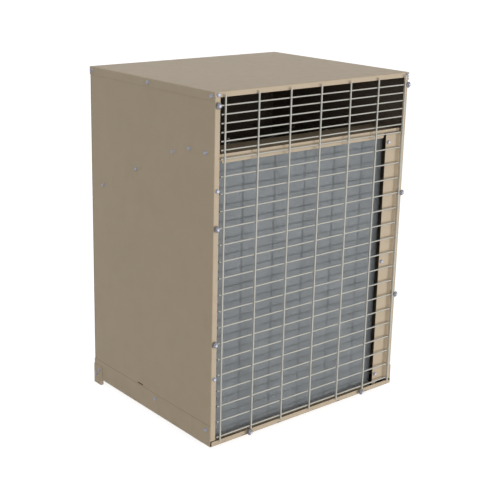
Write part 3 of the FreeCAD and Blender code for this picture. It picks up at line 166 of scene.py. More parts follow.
def srgb(red, green, blue):
    """A colour read off the photograph, 0 to 255, as the linear colour that a shader takes."""
    linear = []
    for value in (red, green, blue):
        share = value / 255.0
        low = share / 12.92
        high = ((share + 0.055) / 1.055) ** 2.4
        linear.append(low if share <= 0.04045 else high)
    return (*linear, 1.0)


class Graph:
    """The nodes of one material, added and linked one at a time."""

    def __init__(self, name):
        self.material = bpy.data.materials.new(name)
        self.material.use_nodes = True
        self.tree = self.material.node_tree
        self.shader = self.tree.nodes["Principled BSDF"]
        self.place = self.add("ShaderNodeTexCoord").outputs["Object"]

    def add(self, kind, settings=None, inputs=None):
        node = self.tree.nodes.new(kind)
        for key, value in (settings or {}).items():
            setattr(node, key, value)
        for key, value in (inputs or {}).items():
            self.feed(node, key, value)
        return node

    def feed(self, node, key, value):
        """Give an input a number, a colour or another node's output."""
        socket = node.inputs[key]
        if isinstance(value, bpy.types.NodeSocket):
            self.tree.links.new(value, socket)
        else:
            socket.default_value = value

    def noise(self, scale, detail=3.0, stretch=(1.0, 1.0, 1.0)):
        """Noise with that many lumps to the metre, longer along an axis whose stretch is small."""
        mapped = self.add("ShaderNodeMapping", inputs={"Vector": self.place, "Scale": stretch})
        inputs = {"Vector": mapped.outputs["Vector"], "Scale": scale, "Detail": detail}
        return self.add("ShaderNodeTexNoise", inputs=inputs).outputs["Fac"]

    def spread(self, value, low, high, to_low=0.0, to_high=1.0):
        """Stretch a range of values to another range, without going past its ends."""
        inputs = {
            "Value": value,
            "From Min": low,
            "From Max": high,
            "To Min": to_low,
            "To Max": to_high,
        }
        return self.add("ShaderNodeMapRange", inputs=inputs).outputs["Result"]

    def maths(self, operation, first, second):
        node = self.add("ShaderNodeMath", {"operation": operation}, {0: first, 1: second})
        return node.outputs["Value"]

    def blend(self, share, first, second):
        """Mix two colours."""
        node = self.add("ShaderNodeMix", {"data_type": "RGBA"})
        self.feed(node, "Factor", share)
        colours = [socket for socket in node.inputs if socket.type == "RGBA"]
        for socket, value in zip(colours, (first, second)):
            if isinstance(value, bpy.types.NodeSocket):
                self.tree.links.new(value, socket)
            else:
                socket.default_value = value
        return [socket for socket in node.outputs if socket.type == "RGBA"][0]

    def mottled(self, noise, low, high, colour, darker, paler):
        """A colour in soft patches, some a little darker and some a little paler."""
        patches = self.spread(noise, low, high)
        return self.blend(patches, shade(colour, darker), shade(colour, paler))

    def stained(self, tone, value, low, high, strength, stain):
        """Another colour over a tone: none where the value is low, that strength where high."""
        return self.blend(self.spread(value, low, high, 0.0, strength), tone, stain)

    def bump(self, height, distance, normal=None):
        inputs = {"Height": height, "Distance": distance, "Strength": 1.0}
        if normal is not None:
            inputs["Normal"] = normal
        return self.add("ShaderNodeBump", inputs=inputs).outputs["Normal"]

    def soft_edge(self, radius):
        """The normal of the surface with its edges rounded."""
        node = self.add("ShaderNodeBevel", {"samples": EDGE_SAMPLES}, {"Radius": radius})
        return node.outputs["Normal"]

    def edge_mask(self, rounded_normal):
        """1 along the piece's edges, 0 on its flats."""
        normal = self.add("ShaderNodeNewGeometry").outputs["Normal"]
        same = self.add(
            "ShaderNodeVectorMath", {"operation": "DOT_PRODUCT"}, {0: rounded_normal, 1: normal}
        )
        return self.spread(same.outputs["Value"], *EDGE_WEAR)

    def facing(self):
        """Which way the surface faces, as a node with one output for each axis."""
        geometry = self.add("ShaderNodeNewGeometry")
        return self.add("ShaderNodeSeparateXYZ", inputs={"Vector": geometry.outputs["Normal"]})

    def height(self):
        split = self.add("ShaderNodeSeparateXYZ", inputs={"Vector": self.place})
        return split.outputs["Z"]

    def finish(self, colour, roughness, normal, metallic=0.0, specular=0.5):
        self.feed(self.shader, "Base Color", colour)
        self.feed(self.shader, "Roughness", roughness)
        self.feed(self.shader, "Normal", normal)
        self.shader.inputs["Metallic"].default_value = metallic
        self.shader.inputs["Specular IOR Level"].default_value = specular
        return self.material


def shade(colour, factor):
    """The same colour, darker or paler."""
    return (*[min(1.0, part * factor) for part in colour[:3]], 1.0)


def powder_coat(name, colour):
    """Beige powder coat: orange peel, sheet that isn't quite flat, handling marks, a little grime
    near the ground, and painted shade on the base pan's floor, nearly black where it shows
    through the drain notches."""
    g = Graph(name)
    broad = g.noise(7.0, 4.0)
    cloud = g.noise(38.0, 5.0)
    tone = g.mottled(broad, 0.30, 0.70, colour, 0.985, 1.015)
    tone = g.stained(tone, cloud, 0.52, 0.78, 0.22, shade(colour, 0.95))
    tone = g.stained(tone, g.noise(420.0, 1.0), 0.77, 0.81, 0.35, shade(colour, 0.66))
    marks = g.noise(26.0, 2.0, (1.0, 1.0, 0.35))
    tone = g.stained(tone, marks, 0.72, 0.78, 0.16, shade(colour, 0.80))
    near_ground = g.spread(g.height(), *GROUND_GRIME)
    low = g.maths("MULTIPLY", near_ground, g.spread(cloud, 0.45, 0.80))
    tone = g.blend(g.maths("MULTIPLY", low, 0.30), tone, srgb(126, 110, 88))
    # Painted shade: upward faces low on the base pan, its floor behind the lip, go nearly black
    upward = g.spread(g.facing().outputs["Z"], 0.4, 0.8)
    pan_floor_shade = g.maths("MULTIPLY", upward, g.spread(g.height(), *PAN_FLOOR_SHADE))
    tone = g.blend(g.maths("MULTIPLY", pan_floor_shade, 0.9), tone, srgb(44, 38, 30))
    rounded = g.soft_edge(0.0008)
    rubbed = g.spread(g.noise(90.0, 4.0), 0.52, 0.68, 0.0, 0.4)
    wear = g.maths("MULTIPLY", g.edge_mask(rounded), rubbed)
    tone = g.blend(wear, tone, srgb(208, 198, 182))
    peel = g.bump(g.noise(900.0, 2.0), 0.00008, rounded)
    normal = g.bump(g.noise(5.0, 1.0), 0.0006, peel)
    roughness = g.spread(cloud, 0.30, 0.75, 0.46, 0.60)
    return g.finish(tone, roughness, normal, specular=0.3)


def coated_wire(name, colour):
    """Pale plastic-dipped wire with dull and bright stretches, painted shade on its underside and
    on its right, and darker at the cut ends."""
    g = Graph(name)
    tone = g.mottled(g.noise(30.0, 3.0), 0.35, 0.68, colour, 0.93, 1.03)
    tone = g.stained(tone, g.noise(340.0, 2.0), 0.70, 0.76, 0.4, srgb(120, 112, 98))
    facing = g.facing()
    # Painted shade: faces that point down are darker, as under each wire
    under = g.maths("MULTIPLY", facing.outputs["Z"], -1.0)
    tone = g.stained(tone, under, 0.20, 0.80, 0.80, srgb(78, 74, 66))
    # Painted shade: faces that point to the right are darker
    tone = g.stained(tone, facing.outputs["X"], 0.35, 0.80, 0.65, srgb(98, 92, 82))
    # Darker at the cut ends: faces that point straight along X
    sideways = g.maths("ABSOLUTE", facing.outputs["X"], 0.0)
    tone = g.blend(g.spread(sideways, 0.995, 0.999), tone, srgb(52, 48, 42))
    normal = g.bump(g.noise(1400.0, 2.0), 0.00006)
    return g.finish(tone, g.spread(g.noise(60.0), 0.3, 0.7, 0.36, 0.52), normal, specular=0.4)


def plated_steel(name, colour, roughness=0.38, spangle=260.0, metallic=0.85):
    """Zinc plating: small patches that differ in tone and shine."""
    g = Graph(name)
    cells = g.add("ShaderNodeTexVoronoi", inputs={"Vector": g.place, "Scale": spangle})
    patch = g.spread(cells.outputs["Distance"], 0.0, 0.8)
    tone = g.blend(patch, shade(colour, 0.82), shade(colour, 1.12))
    tone = g.stained(tone, g.noise(120.0, 4.0), 0.55, 0.75, 0.45, srgb(122, 116, 104))
    rounded = g.soft_edge(0.0003)
    normal = g.bump(g.noise(1500.0, 2.0), 0.00004, rounded)
    rough = g.spread(patch, 0.0, 1.0, roughness - 0.08, roughness + 0.10)
    return g.finish(tone, rough, normal, metallic=metallic)


def brushed_metal(name, colour, stretch, roughness=0.30, metallic=1.0):
    """Metal with fine lines along the axis whose stretch is small."""
    g = Graph(name)
    lines = g.noise(900.0, 3.0, stretch)
    tone = g.mottled(lines, 0.3, 0.7, colour, 0.85, 1.08)
    tone = g.stained(tone, g.noise(45.0, 4.0), 0.5, 0.8, 0.35, shade(colour, 0.6))
    normal = g.bump(lines, 0.00003, g.soft_edge(0.0003))
    rough = g.spread(lines, 0.3, 0.7, roughness - 0.06, roughness + 0.10)
    return g.finish(tone, rough, normal, metallic=metallic)


def fin_metal(name, colour):
    """Dull aluminium fins, greyed in patches by dust."""
    g = Graph(name)
    tone = g.mottled(g.noise(16.0, 5.0), 0.35, 0.70, colour, 0.92, 1.04)
    tone = g.stained(tone, g.noise(140.0, 4.0), 0.55, 0.80, 0.25, srgb(186, 184, 178))
    normal = g.bump(g.noise(1100.0, 2.0, (1.0, 1.0, 0.15)), 0.00005)
    return g.finish(tone, g.spread(g.noise(200.0), 0.3, 0.7, 0.42, 0.60), normal, metallic=0.1)


def tarnished_copper(name):
    """Drawn copper with brown tarnish."""
    g = Graph(name)
    tarnish = g.spread(g.noise(34.0, 6.0), 0.38, 0.66)
    tone = g.blend(tarnish, srgb(196, 122, 84), srgb(112, 66, 44))
    tone = g.stained(tone, g.noise(210.0, 4.0), 0.60, 0.76, 0.5, srgb(74, 52, 42))
    normal = g.bump(g.noise(800.0, 2.0), 0.00003)
    rough = g.spread(g.noise(50.0, 4.0), 0.35, 0.7, 0.26, 0.52)
    return g.finish(tone, rough, normal, metallic=0.95)


def foam_and_shade(name):
    """Open-celled black insulation, greyed by dust. Its dark colour also stands for the deep shade
    inside the outlet chamber: painted shade.
    """
    g = Graph(name)
    cells = g.add("ShaderNodeTexVoronoi", inputs={"Vector": g.place, "Scale": 900.0})
    pores = g.spread(cells.outputs["Distance"], 0.15, 0.60)
    deep = (0.088, 0.071, 0.058, 1.0)
    raised = (0.210, 0.170, 0.138, 1.0)
    dust = (0.230, 0.186, 0.150, 1.0)
    tone = g.blend(pores, deep, raised)
    tone = g.stained(tone, g.noise(24.0, 4.0), 0.55, 0.8, 0.3, dust)
    normal = g.bump(pores, 0.00035, g.bump(g.noise(60.0, 3.0), 0.0012))
    return g.finish(tone, 0.95, normal, specular=0.15)


def moulded(name, colour, roughness=0.5, grain=1300.0):
    """Moulded plastic or rubber: a fine grain and a little dust."""
    g = Graph(name)
    tone = g.mottled(g.noise(22.0, 4.0), 0.35, 0.7, colour, 0.88, 1.14)
    tone = g.stained(tone, g.noise(180.0, 3.0), 0.62, 0.80, 0.22, srgb(120, 112, 100))
    rounded = g.soft_edge(0.0006)
    normal = g.bump(g.noise(grain, 2.0), 0.00006, rounded)
    rough = g.spread(g.noise(70.0, 3.0), 0.3, 0.7, roughness - 0.07, roughness + 0.10)
    return g.finish(tone, rough, normal)


def enamel(name, colour):
    """Thick black enamel on steel, with runs and dust on it."""
    g = Graph(name)
    tone = g.blend(g.spread(g.noise(30.0, 5.0), 0.45, 0.75), colour, shade(colour, 2.4))
    tone = g.stained(tone, g.noise(260.0, 3.0), 0.66, 0.78, 0.3, srgb(110, 100, 88))
    normal = g.bump(g.noise(260.0, 3.0), 0.00015, g.soft_edge(0.0008))
    return g.finish(tone, g.spread(g.noise(40.0, 3.0), 0.3, 0.7, 0.24, 0.42), normal)


def make_materials():
    """One material for each of the record's slots, and a darker copy of the zinc for the washers:
    painted shade, the heads' shadow on them.
    """
    upright = (1.0, 1.0, 0.04)
    return {
        "cabinet_paint": powder_coat("beige_powder_coat", srgb(197, 179, 153)),
        "galvanised_sheet": plated_steel("galvanised_sheet", srgb(150, 152, 150), 0.45, 110.0),
        "grille_wire": coated_wire("coated_wire", srgb(206, 204, 194)),
        "zinc_screws": plated_steel("zinc_plate", srgb(176, 177, 190), metallic=0.25),
        # A darker copy of the zinc for the washers: painted shade from the heads
        "shaded_zinc": plated_steel("shaded_zinc", srgb(112, 112, 116), 0.55, metallic=0.25),
        # Dark lining of the outlet chamber, partly painted shade for its deep inside
        "liner_foam": foam_and_shade("foam_and_shade"),
        "coil_fins": fin_metal("fin_aluminium", srgb(177, 182, 185)),
        "copper": tarnished_copper("tarnished_copper"),
        "compressor_paint": enamel("black_enamel", (0.012, 0.012, 0.013, 1.0)),
        "black_steel": enamel("dark_steel_paint", (0.020, 0.020, 0.020, 1.0)),
        "rubber": moulded("black_rubber", (0.016, 0.016, 0.016, 1.0), 0.72, 700.0),
        "fan_plastic": moulded("fan_plastic", srgb(104, 106, 100), 0.46),
        "steel": brushed_metal("turned_steel", srgb(176, 176, 178), (1.0, 1.0, 8.0)),
        "valve_brass": brushed_metal("turned_brass", srgb(190, 160, 92), upright, 0.28),
        "relay_plastic": moulded("relay_plastic", (0.030, 0.030, 0.032, 1.0), 0.44),
        "plunger_plastic": moulded("pale_plastic", srgb(206, 200, 184), 0.42),
        "capacitor_can": brushed_metal("drawn_can", srgb(196, 196, 196), upright, 0.30),
        "reset_red": moulded("red_plastic", srgb(176, 28, 24), 0.34),
    }


def dress_nodes(frame, materials):
    """Give every CAD node the material of its slot."""
    for part in frame["record"]["subparts"]:
        node = frame["nodes"][part["node"]]
        node.data.materials.clear()
        node.data.materials.append(materials[part["material_slot"]])


def islands(node):
    """The separate solids of a CAD node, each as the list of its corner points."""
    mesh = bmesh.new()
    mesh.from_mesh(node.data)
    bmesh.ops.remove_doubles(mesh, verts=mesh.verts, dist=SAME_CORNER)
    left = set(mesh.verts)
    found = []
    for start in mesh.verts:
        if start not in left:
            continue
        left.remove(start)
        open_ends = [start]
        island = []
        while open_ends:
            vertex = open_ends.pop()
            island.append(vertex.co.copy())
            for edge in vertex.link_edges:
                other = edge.other_vert(vertex)
                if other in left:
                    left.remove(other)
                    open_ends.append(other)
        found.append(island)
    mesh.free()
    return found


def extent(points):
    low = Vector([min(p[i] for p in points) for i in range(3)])
    high = Vector([max(p[i] for p in points) for i in range(3)])
    return low, high


class Builder:
    """Collects the faces of one piece and makes its object."""

    def __init__(self):
        self.points = []
        self.faces = []

    def loft(self, rings):
        """A closed solid through rings of as many points each."""
        numbered = []
        for ring in rings:
            start = len(self.points)
            self.points += ring
            numbered.append(range(start, start + len(ring)))
        for first, second in zip(numbered, numbered[1:]):
            for i, corner in enumerate(first):
                j = (i + 1) % len(first)
                self.faces.append((corner, first[j], second[j], second[i]))
        self.faces.append(tuple(reversed(numbered[0])))
        self.faces.append(tuple(numbered[-1]))

    def piece(self, name, material, slot, round_angle=PIECE_ROUND_ANGLE, body=CABINET):
        mesh = bpy.data.meshes.new(name)
        mesh.from_pydata([tuple(p) for p in self.points], [], self.faces)
        mesh.validate()
        made = bpy.data.objects.new(name, mesh)
        bpy.context.scene.collection.objects.link(made)
        mesh.materials.append(material)
        smooth(made, round_angle)
        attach(made, body)
        return made


def smooth(piece, round_angle):
    """Smooth shading, with creases where faces meet at more than that many degrees."""
    mesh = piece.data
    mesh.shade_smooth()
    edges = bmesh.new()
    edges.from_mesh(mesh)
    edges.normal_update()
    limit = math.radians(round_angle)
    for edge in edges.edges:
        if len(edge.link_faces) == 2:
            edge.smooth = edge.calc_face_angle() < limit
    edges.to_mesh(mesh)
    edges.free()


def circle(steps):
    """The cosine and the sine of each of that many even steps round a full turn."""
    angles = [2.0 * math.pi * step / steps for step in range(steps)]
    return [(math.cos(angle), math.sin(angle)) for angle in angles]


def facing_matrix(seat, outward, turn=0.0):
    """Where a shape drawn along Z stands: its foot on the seat, Z pointing outward."""
    stand = outward.to_track_quat("Z", "Y").to_matrix().to_4x4()
    return Matrix.Translation(seat) @ stand @ Matrix.Rotation(turn, 4, "Z")


def hexagon_radius(angle, across_flats):
    """Distance from the middle of a hexagon to its side, at an angle."""
    sixth = math.pi / 3.0
    return across_flats / 2.0 / math.cos((angle + sixth / 2.0) % sixth - sixth / 2.0)


def add_hex_head(builder, place):
    """A hexagonal head with a washer face, a chamfered rim and a shallow dish on top."""
    flange = HEAD_FLANGE_RADIUS
    rise = HEAD_FLANGE_HEIGHT
    round_top = HEAD_ACROSS_FLATS / 2.0 * HEAD_TOP
    slant = math.tan(HEAD_CHAMFER)
    columns = []
    for step in range(HEAD_STEPS):
        angle = 2.0 * math.pi * step / HEAD_STEPS
        side = hexagon_radius(angle, HEAD_ACROSS_FLATS)
        profile = [
            (flange * HEAD_ROLLED_EDGE, 0.0),
            (flange, rise * 0.35),
            (flange * HEAD_ROLLED_EDGE, rise * 0.75),
            (min(side + HEAD_FILLET, flange * 0.95), rise),
            (side, rise + HEAD_FILLET),
            (side, HEAD_HEIGHT - max(0.0, side - round_top) * slant - HEAD_CHAMFER_DROP),
            (min(side, round_top), HEAD_HEIGHT - 0.0001),
            (round_top * HEAD_DISH, HEAD_HEIGHT - HEAD_DISH_DEPTH),
        ]
        across, up = math.cos(angle), math.sin(angle)
        columns.append([place @ Vector((r * across, r * up, z)) for r, z in profile])
    builder.loft([list(ring) for ring in zip(*columns)])


def add_washer(builder, place):
    """A flat washer with rolled edges."""
    profile = [
        (WASHER_RADIUS * WASHER_ROLLED_EDGE, 0.0),
        (WASHER_RADIUS, WASHER_THICKNESS * 0.35),
        (WASHER_RADIUS, WASHER_THICKNESS * 0.65),
        (WASHER_RADIUS * WASHER_ROLLED_EDGE, WASHER_THICKNESS),
    ]
    rings = [
        [place @ Vector((radius * x, radius * y, rise)) for x, y in circle(HEAD_STEPS)]
        for radius, rise in profile
    ]
    builder.loft(rings)


def seat_of(points, middle):
    """Where an upright head stands and which way it points, from its solid's corners."""
    low, high = extent(points)
    centre = (low + high) / 2.0
    size = high - low
    axis = min(range(3), key=lambda i: abs(size[i] - HEAD_HEIGHT))
    sign = 1.0 if centre[axis] > middle[axis] else -1.0
    outward = Vector((0.0, 0.0, 0.0))
    outward[axis] = sign
    seat = centre.copy()
    seat[axis] = low[axis] if sign > 0 else high[axis]
    return seat, outward


def screw_heads(frame, materials, node):
    """Detailed heads in place of a node's plain hexagons."""
    low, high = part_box("rear_panel")
    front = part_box("left_side_panel")[0].y
    middle = Vector(((low.x + high.x) / 2.0, (front + high.y) / 2.0, (low.z + high.z) / 2.0))
    turns = random.Random(node)
    builder = Builder()
    for points in islands(frame["nodes"][node]):
        seat, outward = seat_of(points, middle)
        add_hex_head(builder, facing_matrix(seat, outward, turns.uniform(0.0, math.pi)))
    heads = builder.piece(node + "_heads", materials["zinc_screws"], "zinc_screws")
    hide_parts(node)


def clamp_heads(frame, materials):
    """The grille's clamps: screws with a shank each, and a wide washer under each head."""
    turns = random.Random("clamps")
    screws = Builder()
    washers = Builder()
    outward = Vector((0.0, -1.0, 0.0))
    for points in islands(frame["nodes"]["grille_clamps"]):
        low, high = extent(points)
        centre = (low + high) / 2.0
        washer_front = low.y + HEAD_HEIGHT
        washer_back = Vector((centre.x, washer_front + WASHER_THICKNESS, centre.z))
        add_washer(washers, facing_matrix(washer_back, outward))
        seat = Vector((centre.x, washer_front, centre.z))
        add_hex_head(screws, facing_matrix(seat, outward, turns.uniform(0.0, math.pi)))
        shank = [
            [
                Vector((centre.x + SHANK_RADIUS * x, depth, centre.z + SHANK_RADIUS * z))
                for x, z in circle(SHANK_STEPS)
            ]
            for depth in (washer_back.y, high.y)
        ]
        screws.loft(shank)
    heads = screws.piece("grille_clamp_screws", materials["zinc_screws"], "zinc_screws")
    # The washers take the darker zinc: painted shade under the heads
    washers.piece("grille_clamp_washers", materials["shaded_zinc"], "zinc_screws")
    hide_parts("grille_clamps")


def coil_plan():
    """The coil's outer face in plan, from the left end round the bend to the end of its leg, as
    a function of the distance along its middle line: a point, and the way into the coil."""
    low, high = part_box("condenser_coil")
    outer_radius = COIL_INNER_RADIUS + COIL_DEPTH
    middle_radius = COIL_INNER_RADIUS + COIL_DEPTH / 2.0
    centre = Vector((high.x - outer_radius, low.y + outer_radius, 0.0))
    straight = centre.x - low.x
    arc = middle_radius * math.pi / 2.0
    leg = high.y - centre.y

    def at(distance):
        if distance <= straight:
            return Vector((low.x + distance, low.y, 0.0)), Vector((0.0, 1.0, 0.0))
        if distance <= straight + arc:
            turn = (distance - straight) / middle_radius
            outward = Vector((math.sin(turn), -math.cos(turn), 0.0))
            return centre + outward * outer_radius, -outward
        past = distance - straight - arc
        return Vector((high.x, centre.y + past, 0.0)), Vector((-1.0, 0.0, 0.0))

    return at, straight, arc, leg


def coil_fins(materials):
    """Thin upright fins, close together, each with its front edge rolled over and a fold half way
    through, and some of them bent a little in front."""
    at, straight, arc, leg = coil_plan()
    low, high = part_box("condenser_coil")
    length = straight + arc + leg
    count = int(length / FIN_PITCH)
    chance = random.Random("fins")
    builder = Builder()
    dents = []
    for _ in range(DENT_COUNT):
        spot = (chance.uniform(0.0, length), chance.uniform(low.z, high.z))
        dents.append((*spot, chance.uniform(*DENT_REACH)))
    for number in range(count + 1):
        distance = FIN_INSET + (length - 2.0 * FIN_INSET) * number / count
        face, inward = at(distance)
        along = Vector((-inward.y, inward.x, 0.0)) * -1.0
        half = along * (FIN_THICKNESS / 2.0)
        depth = inward * FIN_LIP_DEPTH
        last = number == count
        rim = along * (FIN_THICKNESS if last else FIN_LIP_WIDTH)
        lean = chance.uniform(-LEAN_SHARE, LEAN_SHARE) * FIN_BEND
        rings = []
        for station in range(FIN_STATIONS + 1):
            z = low.z + (high.z - low.z) * station / FIN_STATIONS
            push = lean + chance.uniform(-WOBBLE_SHARE, WOBBLE_SHARE) * FIN_BEND
            for dent_distance, dent_z, reach in dents:
                gap = math.hypot(distance - dent_distance, z - dent_z)
                if gap < reach:
                    push += DENT_SHARE * FIN_BEND * (1.0 - gap / reach)
            if station in (0, FIN_STATIONS) or number == 0 or last:
                push = 0.0
            edge = face + along * push
            back = face + inward * COIL_DEPTH
            fold = (edge + back) / 2.0 + along * (0.0 if last else FIN_FOLD)
            corners = [
                edge - half,
                edge - half + rim,
                edge - half + rim + depth,
                edge + half + depth,
                fold + half,
                back + half,
                back - half,
                fold - half,
            ]
            rings.append([Vector((p.x, p.y, z)) for p in corners])
        builder.loft(rings)
    fins = builder.piece("coil_fins", materials["coil_fins"], "coil_fins", FIN_ROUND_ANGLE)
    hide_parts("condenser_coil")


def coil_tubes(materials):
    """Two rows of copper tubes through the fins."""
    at, straight, arc, leg = coil_plan()
    low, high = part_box("condenser_coil")
    height = high.z - low.z
    count = int(height / TUBE_PITCH)
    first = low.z + (height - (count - 1) * TUBE_PITCH) / 2.0
    stops = [0.0, straight / 2.0]
    stops += [straight + arc * step / ARC_STEPS for step in range(ARC_STEPS + 1)]
    stops.append(straight + arc + leg)
    builder = Builder()
    for row in (-0.5, 0.5):
        depth = COIL_DEPTH / 2.0 + row * TUBE_ROW_SPACING
        for number in range(count):
            middle = first + number * TUBE_PITCH
            rings = []
            for distance in stops:
                face, inward = at(distance)
                centre = face + inward * depth
                ring = []
                for across, up in circle(TUBE_SIDES):
                    spot = centre + inward * (TUBE_RADIUS * across)
                    ring.append(Vector((spot.x, spot.y, middle + TUBE_RADIUS * up)))
                rings.append(ring)
            builder.loft(rings)
    builder.piece("coil_tubes", materials["copper"], "copper")


def corner_strips(materials):
    """Foam over the side panels' flanges in the rear corners of the outlet chamber, dark as
    painted shade for those corners.
    """
    low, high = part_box("plenum_liner")
    rear = high.y - BACK_SHEET
    front = rear - STRIP_THICKNESS
    builder = Builder()
    for left, right in (
        (low.x + STRIP_NEAR, low.x + STRIP_FAR),
        (high.x - STRIP_FAR, high.x - STRIP_NEAR),
    ):
        corners = [(left, front), (right, front), (right, rear), (left, rear)]
        heights = (low.z + STRIP_RISE, high.z - TOP_SHEET)
        builder.loft([[Vector((x, y, z)) for x, y in corners] for z in heights])
    builder.piece("plenum_corner_strips", materials["liner_foam"], "liner_foam")


def grille_welds(frame, materials):
    """A small weld where each upright wire crosses a cross wire."""
    builder = Builder()
    upright = [extent(points) for points in islands(frame["nodes"]["grille_vertical_wires"])]
    across = [extent(points) for points in islands(frame["nodes"]["grille_cross_wires"])]
    for low, high in upright:
        x = (low.x + high.x) / 2.0
        for wire_low, wire_high in across:
            z = (wire_low.z + wire_high.z) / 2.0
            if not (wire_low.x < x < wire_high.x and low.z < z < high.z):
                continue
            rings = []
            for share in WELD_SECTIONS:
                size = math.sqrt(1.0 - share * share)
                y = high.y + WELD_DEPTH * share
                rings.append([
                    Vector((x + WELD_LENGTH * size * turn_x, y, z + WELD_WIDTH * size * turn_z))
                    for turn_x, turn_z in circle(WELD_STEPS)
                ])
            builder.loft(rings)
    builder.piece("grille_welds", materials["grille_wire"], "grille_wire", WELD_ROUND_ANGLE)


def make_camera():
    """The photograph's own view."""
    level = Vector((math.cos(CAMERA_YAW), -math.sin(CAMERA_YAW), 0.0))
    forward = Vector((
        math.sin(CAMERA_YAW) * math.cos(CAMERA_PITCH),
        math.cos(CAMERA_YAW) * math.cos(CAMERA_PITCH),
        -math.sin(CAMERA_PITCH),
    ))
    upward = level.cross(forward)
    right = level * math.cos(CAMERA_ROLL) + upward * math.sin(CAMERA_ROLL)
    up = upward * math.cos(CAMERA_ROLL) - level * math.sin(CAMERA_ROLL)
    lens = bpy.data.cameras.new("photo_camera")
    lens.lens = FOCAL_LENGTH
    lens.sensor_width = SENSOR_WIDTH
    lens.shift_x, lens.shift_y = CAMERA_SHIFT
    lens.clip_start = NEAREST_SEEN
    lens.clip_end = FARTHEST_SEEN
    camera = bpy.data.objects.new("photo_camera", lens)
    turn = Matrix((right, up, -forward)).transposed().to_4x4()
    camera.matrix_world = Matrix.Translation(CAMERA_PLACE) @ turn
    bpy.context.scene.collection.objects.link(camera)
    bpy.context.scene.camera = camera


def add_sun(name, level, travel, softness):
    """Parallel light that travels along a direction."""
    sun = bpy.data.lights.new(name, "SUN")
    sun.energy = level * math.pi
    sun.angle = softness
    lamp = bpy.data.objects.new(name, sun)
    lamp.rotation_mode = "QUATERNION"
    lamp.rotation_quaternion = travel.normalized().to_track_quat("-Z", "Y")
    lamp.location = -travel.normalized() * SUN_DISTANCE
    bpy.context.scene.collection.objects.link(lamp)
    return lamp


def add_front_panel():
    """A wide soft light that faces the grille."""
    panel = bpy.data.lights.new("front_panel", "AREA")
    panel.shape = "RECTANGLE"
    panel.size = PANEL_WIDTH
    panel.size_y = PANEL_HEIGHT
    panel.energy = PANEL_POWER
    lamp = bpy.data.objects.new("front_panel", panel)
    lamp.rotation_mode = "QUATERNION"
    lamp.rotation_quaternion = Vector((0.0, 1.0, 0.0)).to_track_quat("-Z", "Y")
    lamp.location = PANEL_PLACE
    lamp.visible_camera = False
    bpy.context.scene.collection.objects.link(lamp)
    return lamp


def pass_through(lamp, piece):
    """Let a lamp's light through one piece, which still shows the shadows of the others."""
    blockers = bpy.data.collections.new(lamp.name + "_blockers")
    blockers.objects.link(piece)
    blockers.collection_objects[0].light_linking.link_state = "EXCLUDE"
    lamp.light_linking.blocker_collection = blockers


def seen_directly(nodes, links):
    """1 for what the camera, a mirror or glass sees, 0 for light that falls on the object."""
    path = nodes.new("ShaderNodeLightPath")
    total = path.outputs["Is Camera Ray"]
    for kind in ("Is Glossy Ray", "Is Transmission Ray"):
        either = nodes.new("ShaderNodeMath")
        either.operation = "MAXIMUM"
        links.new(total, either.inputs[0])
        links.new(path.outputs[kind], either.inputs[1])
        total = either.outputs["Value"]
    return total


def make_sky():
    """A plain sky that lights the object, and shows white behind it."""
    world = bpy.data.worlds.new("studio")
    world.use_nodes = True
    nodes = world.node_tree.nodes
    links = world.node_tree.links
    background = nodes["Background"]
    background.inputs["Color"].default_value = (1.0, 1.0, 1.0, 1.0)
    strength = nodes.new("ShaderNodeMapRange")
    strength.inputs["To Min"].default_value = SKY_LEVEL
    strength.inputs["To Max"].default_value = 1.0
    links.new(seen_directly(nodes, links), strength.inputs["Value"])
    links.new(strength.outputs["Result"], background.inputs["Strength"])
    bpy.context.scene.world = world


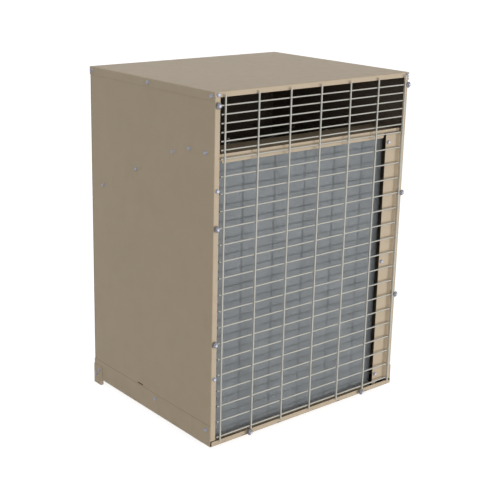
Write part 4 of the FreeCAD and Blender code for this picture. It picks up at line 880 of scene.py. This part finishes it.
def make_floor():
    """A pale floor that the object stands on, white to the eye but for the object's shadow."""
    half = FLOOR_SIZE / 2.0
    mesh = bpy.data.meshes.new("floor")
    corners = [(-half, -half, 0.0), (half, -half, 0.0), (half, half, 0.0), (-half, half, 0.0)]
    mesh.from_pydata(corners, [], [(0, 1, 2, 3)])
    floor = bpy.data.objects.new("floor", mesh)
    bpy.context.scene.collection.objects.link(floor)
    material = bpy.data.materials.new("pale_floor")
    material.use_nodes = True
    nodes = material.node_tree.nodes
    links = material.node_tree.links
    nodes.remove(nodes["Principled BSDF"])
    lit = nodes.new("ShaderNodeBsdfDiffuse")
    lit.inputs["Color"].default_value = (FLOOR_TONE, FLOOR_TONE, FLOOR_TONE, 1.0)
    glow = nodes.new("ShaderNodeEmission")
    glow.inputs["Color"].default_value = (1.0, 1.0, 1.0, 1.0)
    shown = nodes.new("ShaderNodeMapRange")
    shown.inputs["To Max"].default_value = FLOOR_GLOW
    both = nodes.new("ShaderNodeAddShader")
    links.new(seen_directly(nodes, links), shown.inputs["Value"])
    links.new(shown.outputs["Result"], glow.inputs["Strength"])
    links.new(lit.outputs["BSDF"], both.inputs[0])
    links.new(glow.outputs["Emission"], both.inputs[1])
    links.new(both.outputs["Shader"], nodes["Material Output"].inputs["Surface"])
    mesh.materials.append(material)
    return floor


def smooth_cad(frame):
    """Soft shading on the CAD nodes' round faces."""
    for node in frame["nodes"].values():
        node.data.shade_smooth()
        modifier = node.modifiers.new("creases", "EDGE_SPLIT")
        modifier.split_angle = math.radians(CAD_ROUND_ANGLE)


def main():
    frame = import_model()
    bpy.context.scene.view_settings.view_transform = "Standard"
    make_camera()
    make_sky()
    floor = make_floor()
    pass_through(add_sun("key_light", KEY_LEVEL, KEY_TRAVEL, KEY_SOFTNESS), floor)
    pass_through(add_front_panel(), floor)
    pass_through(add_sun("left_light", LEFT_LEVEL, LEFT_TRAVEL, LEFT_SOFTNESS), floor)
    materials = make_materials()
    dress_nodes(frame, materials)
    smooth_cad(frame)
    for node in (
        "top_cover_screws",
        "deck_screws",
        "front_flange_screws",
        "base_screws",
        "foot_rail_screws",
        "filler_panel_screws",
        "rear_panel_screws",
        "access_panel_screws",
    ):
        screw_heads(frame, materials, node)
    clamp_heads(frame, materials)
    coil_fins(materials)
    coil_tubes(materials)
    grille_welds(frame, materials)
    corner_strips(materials)


main()
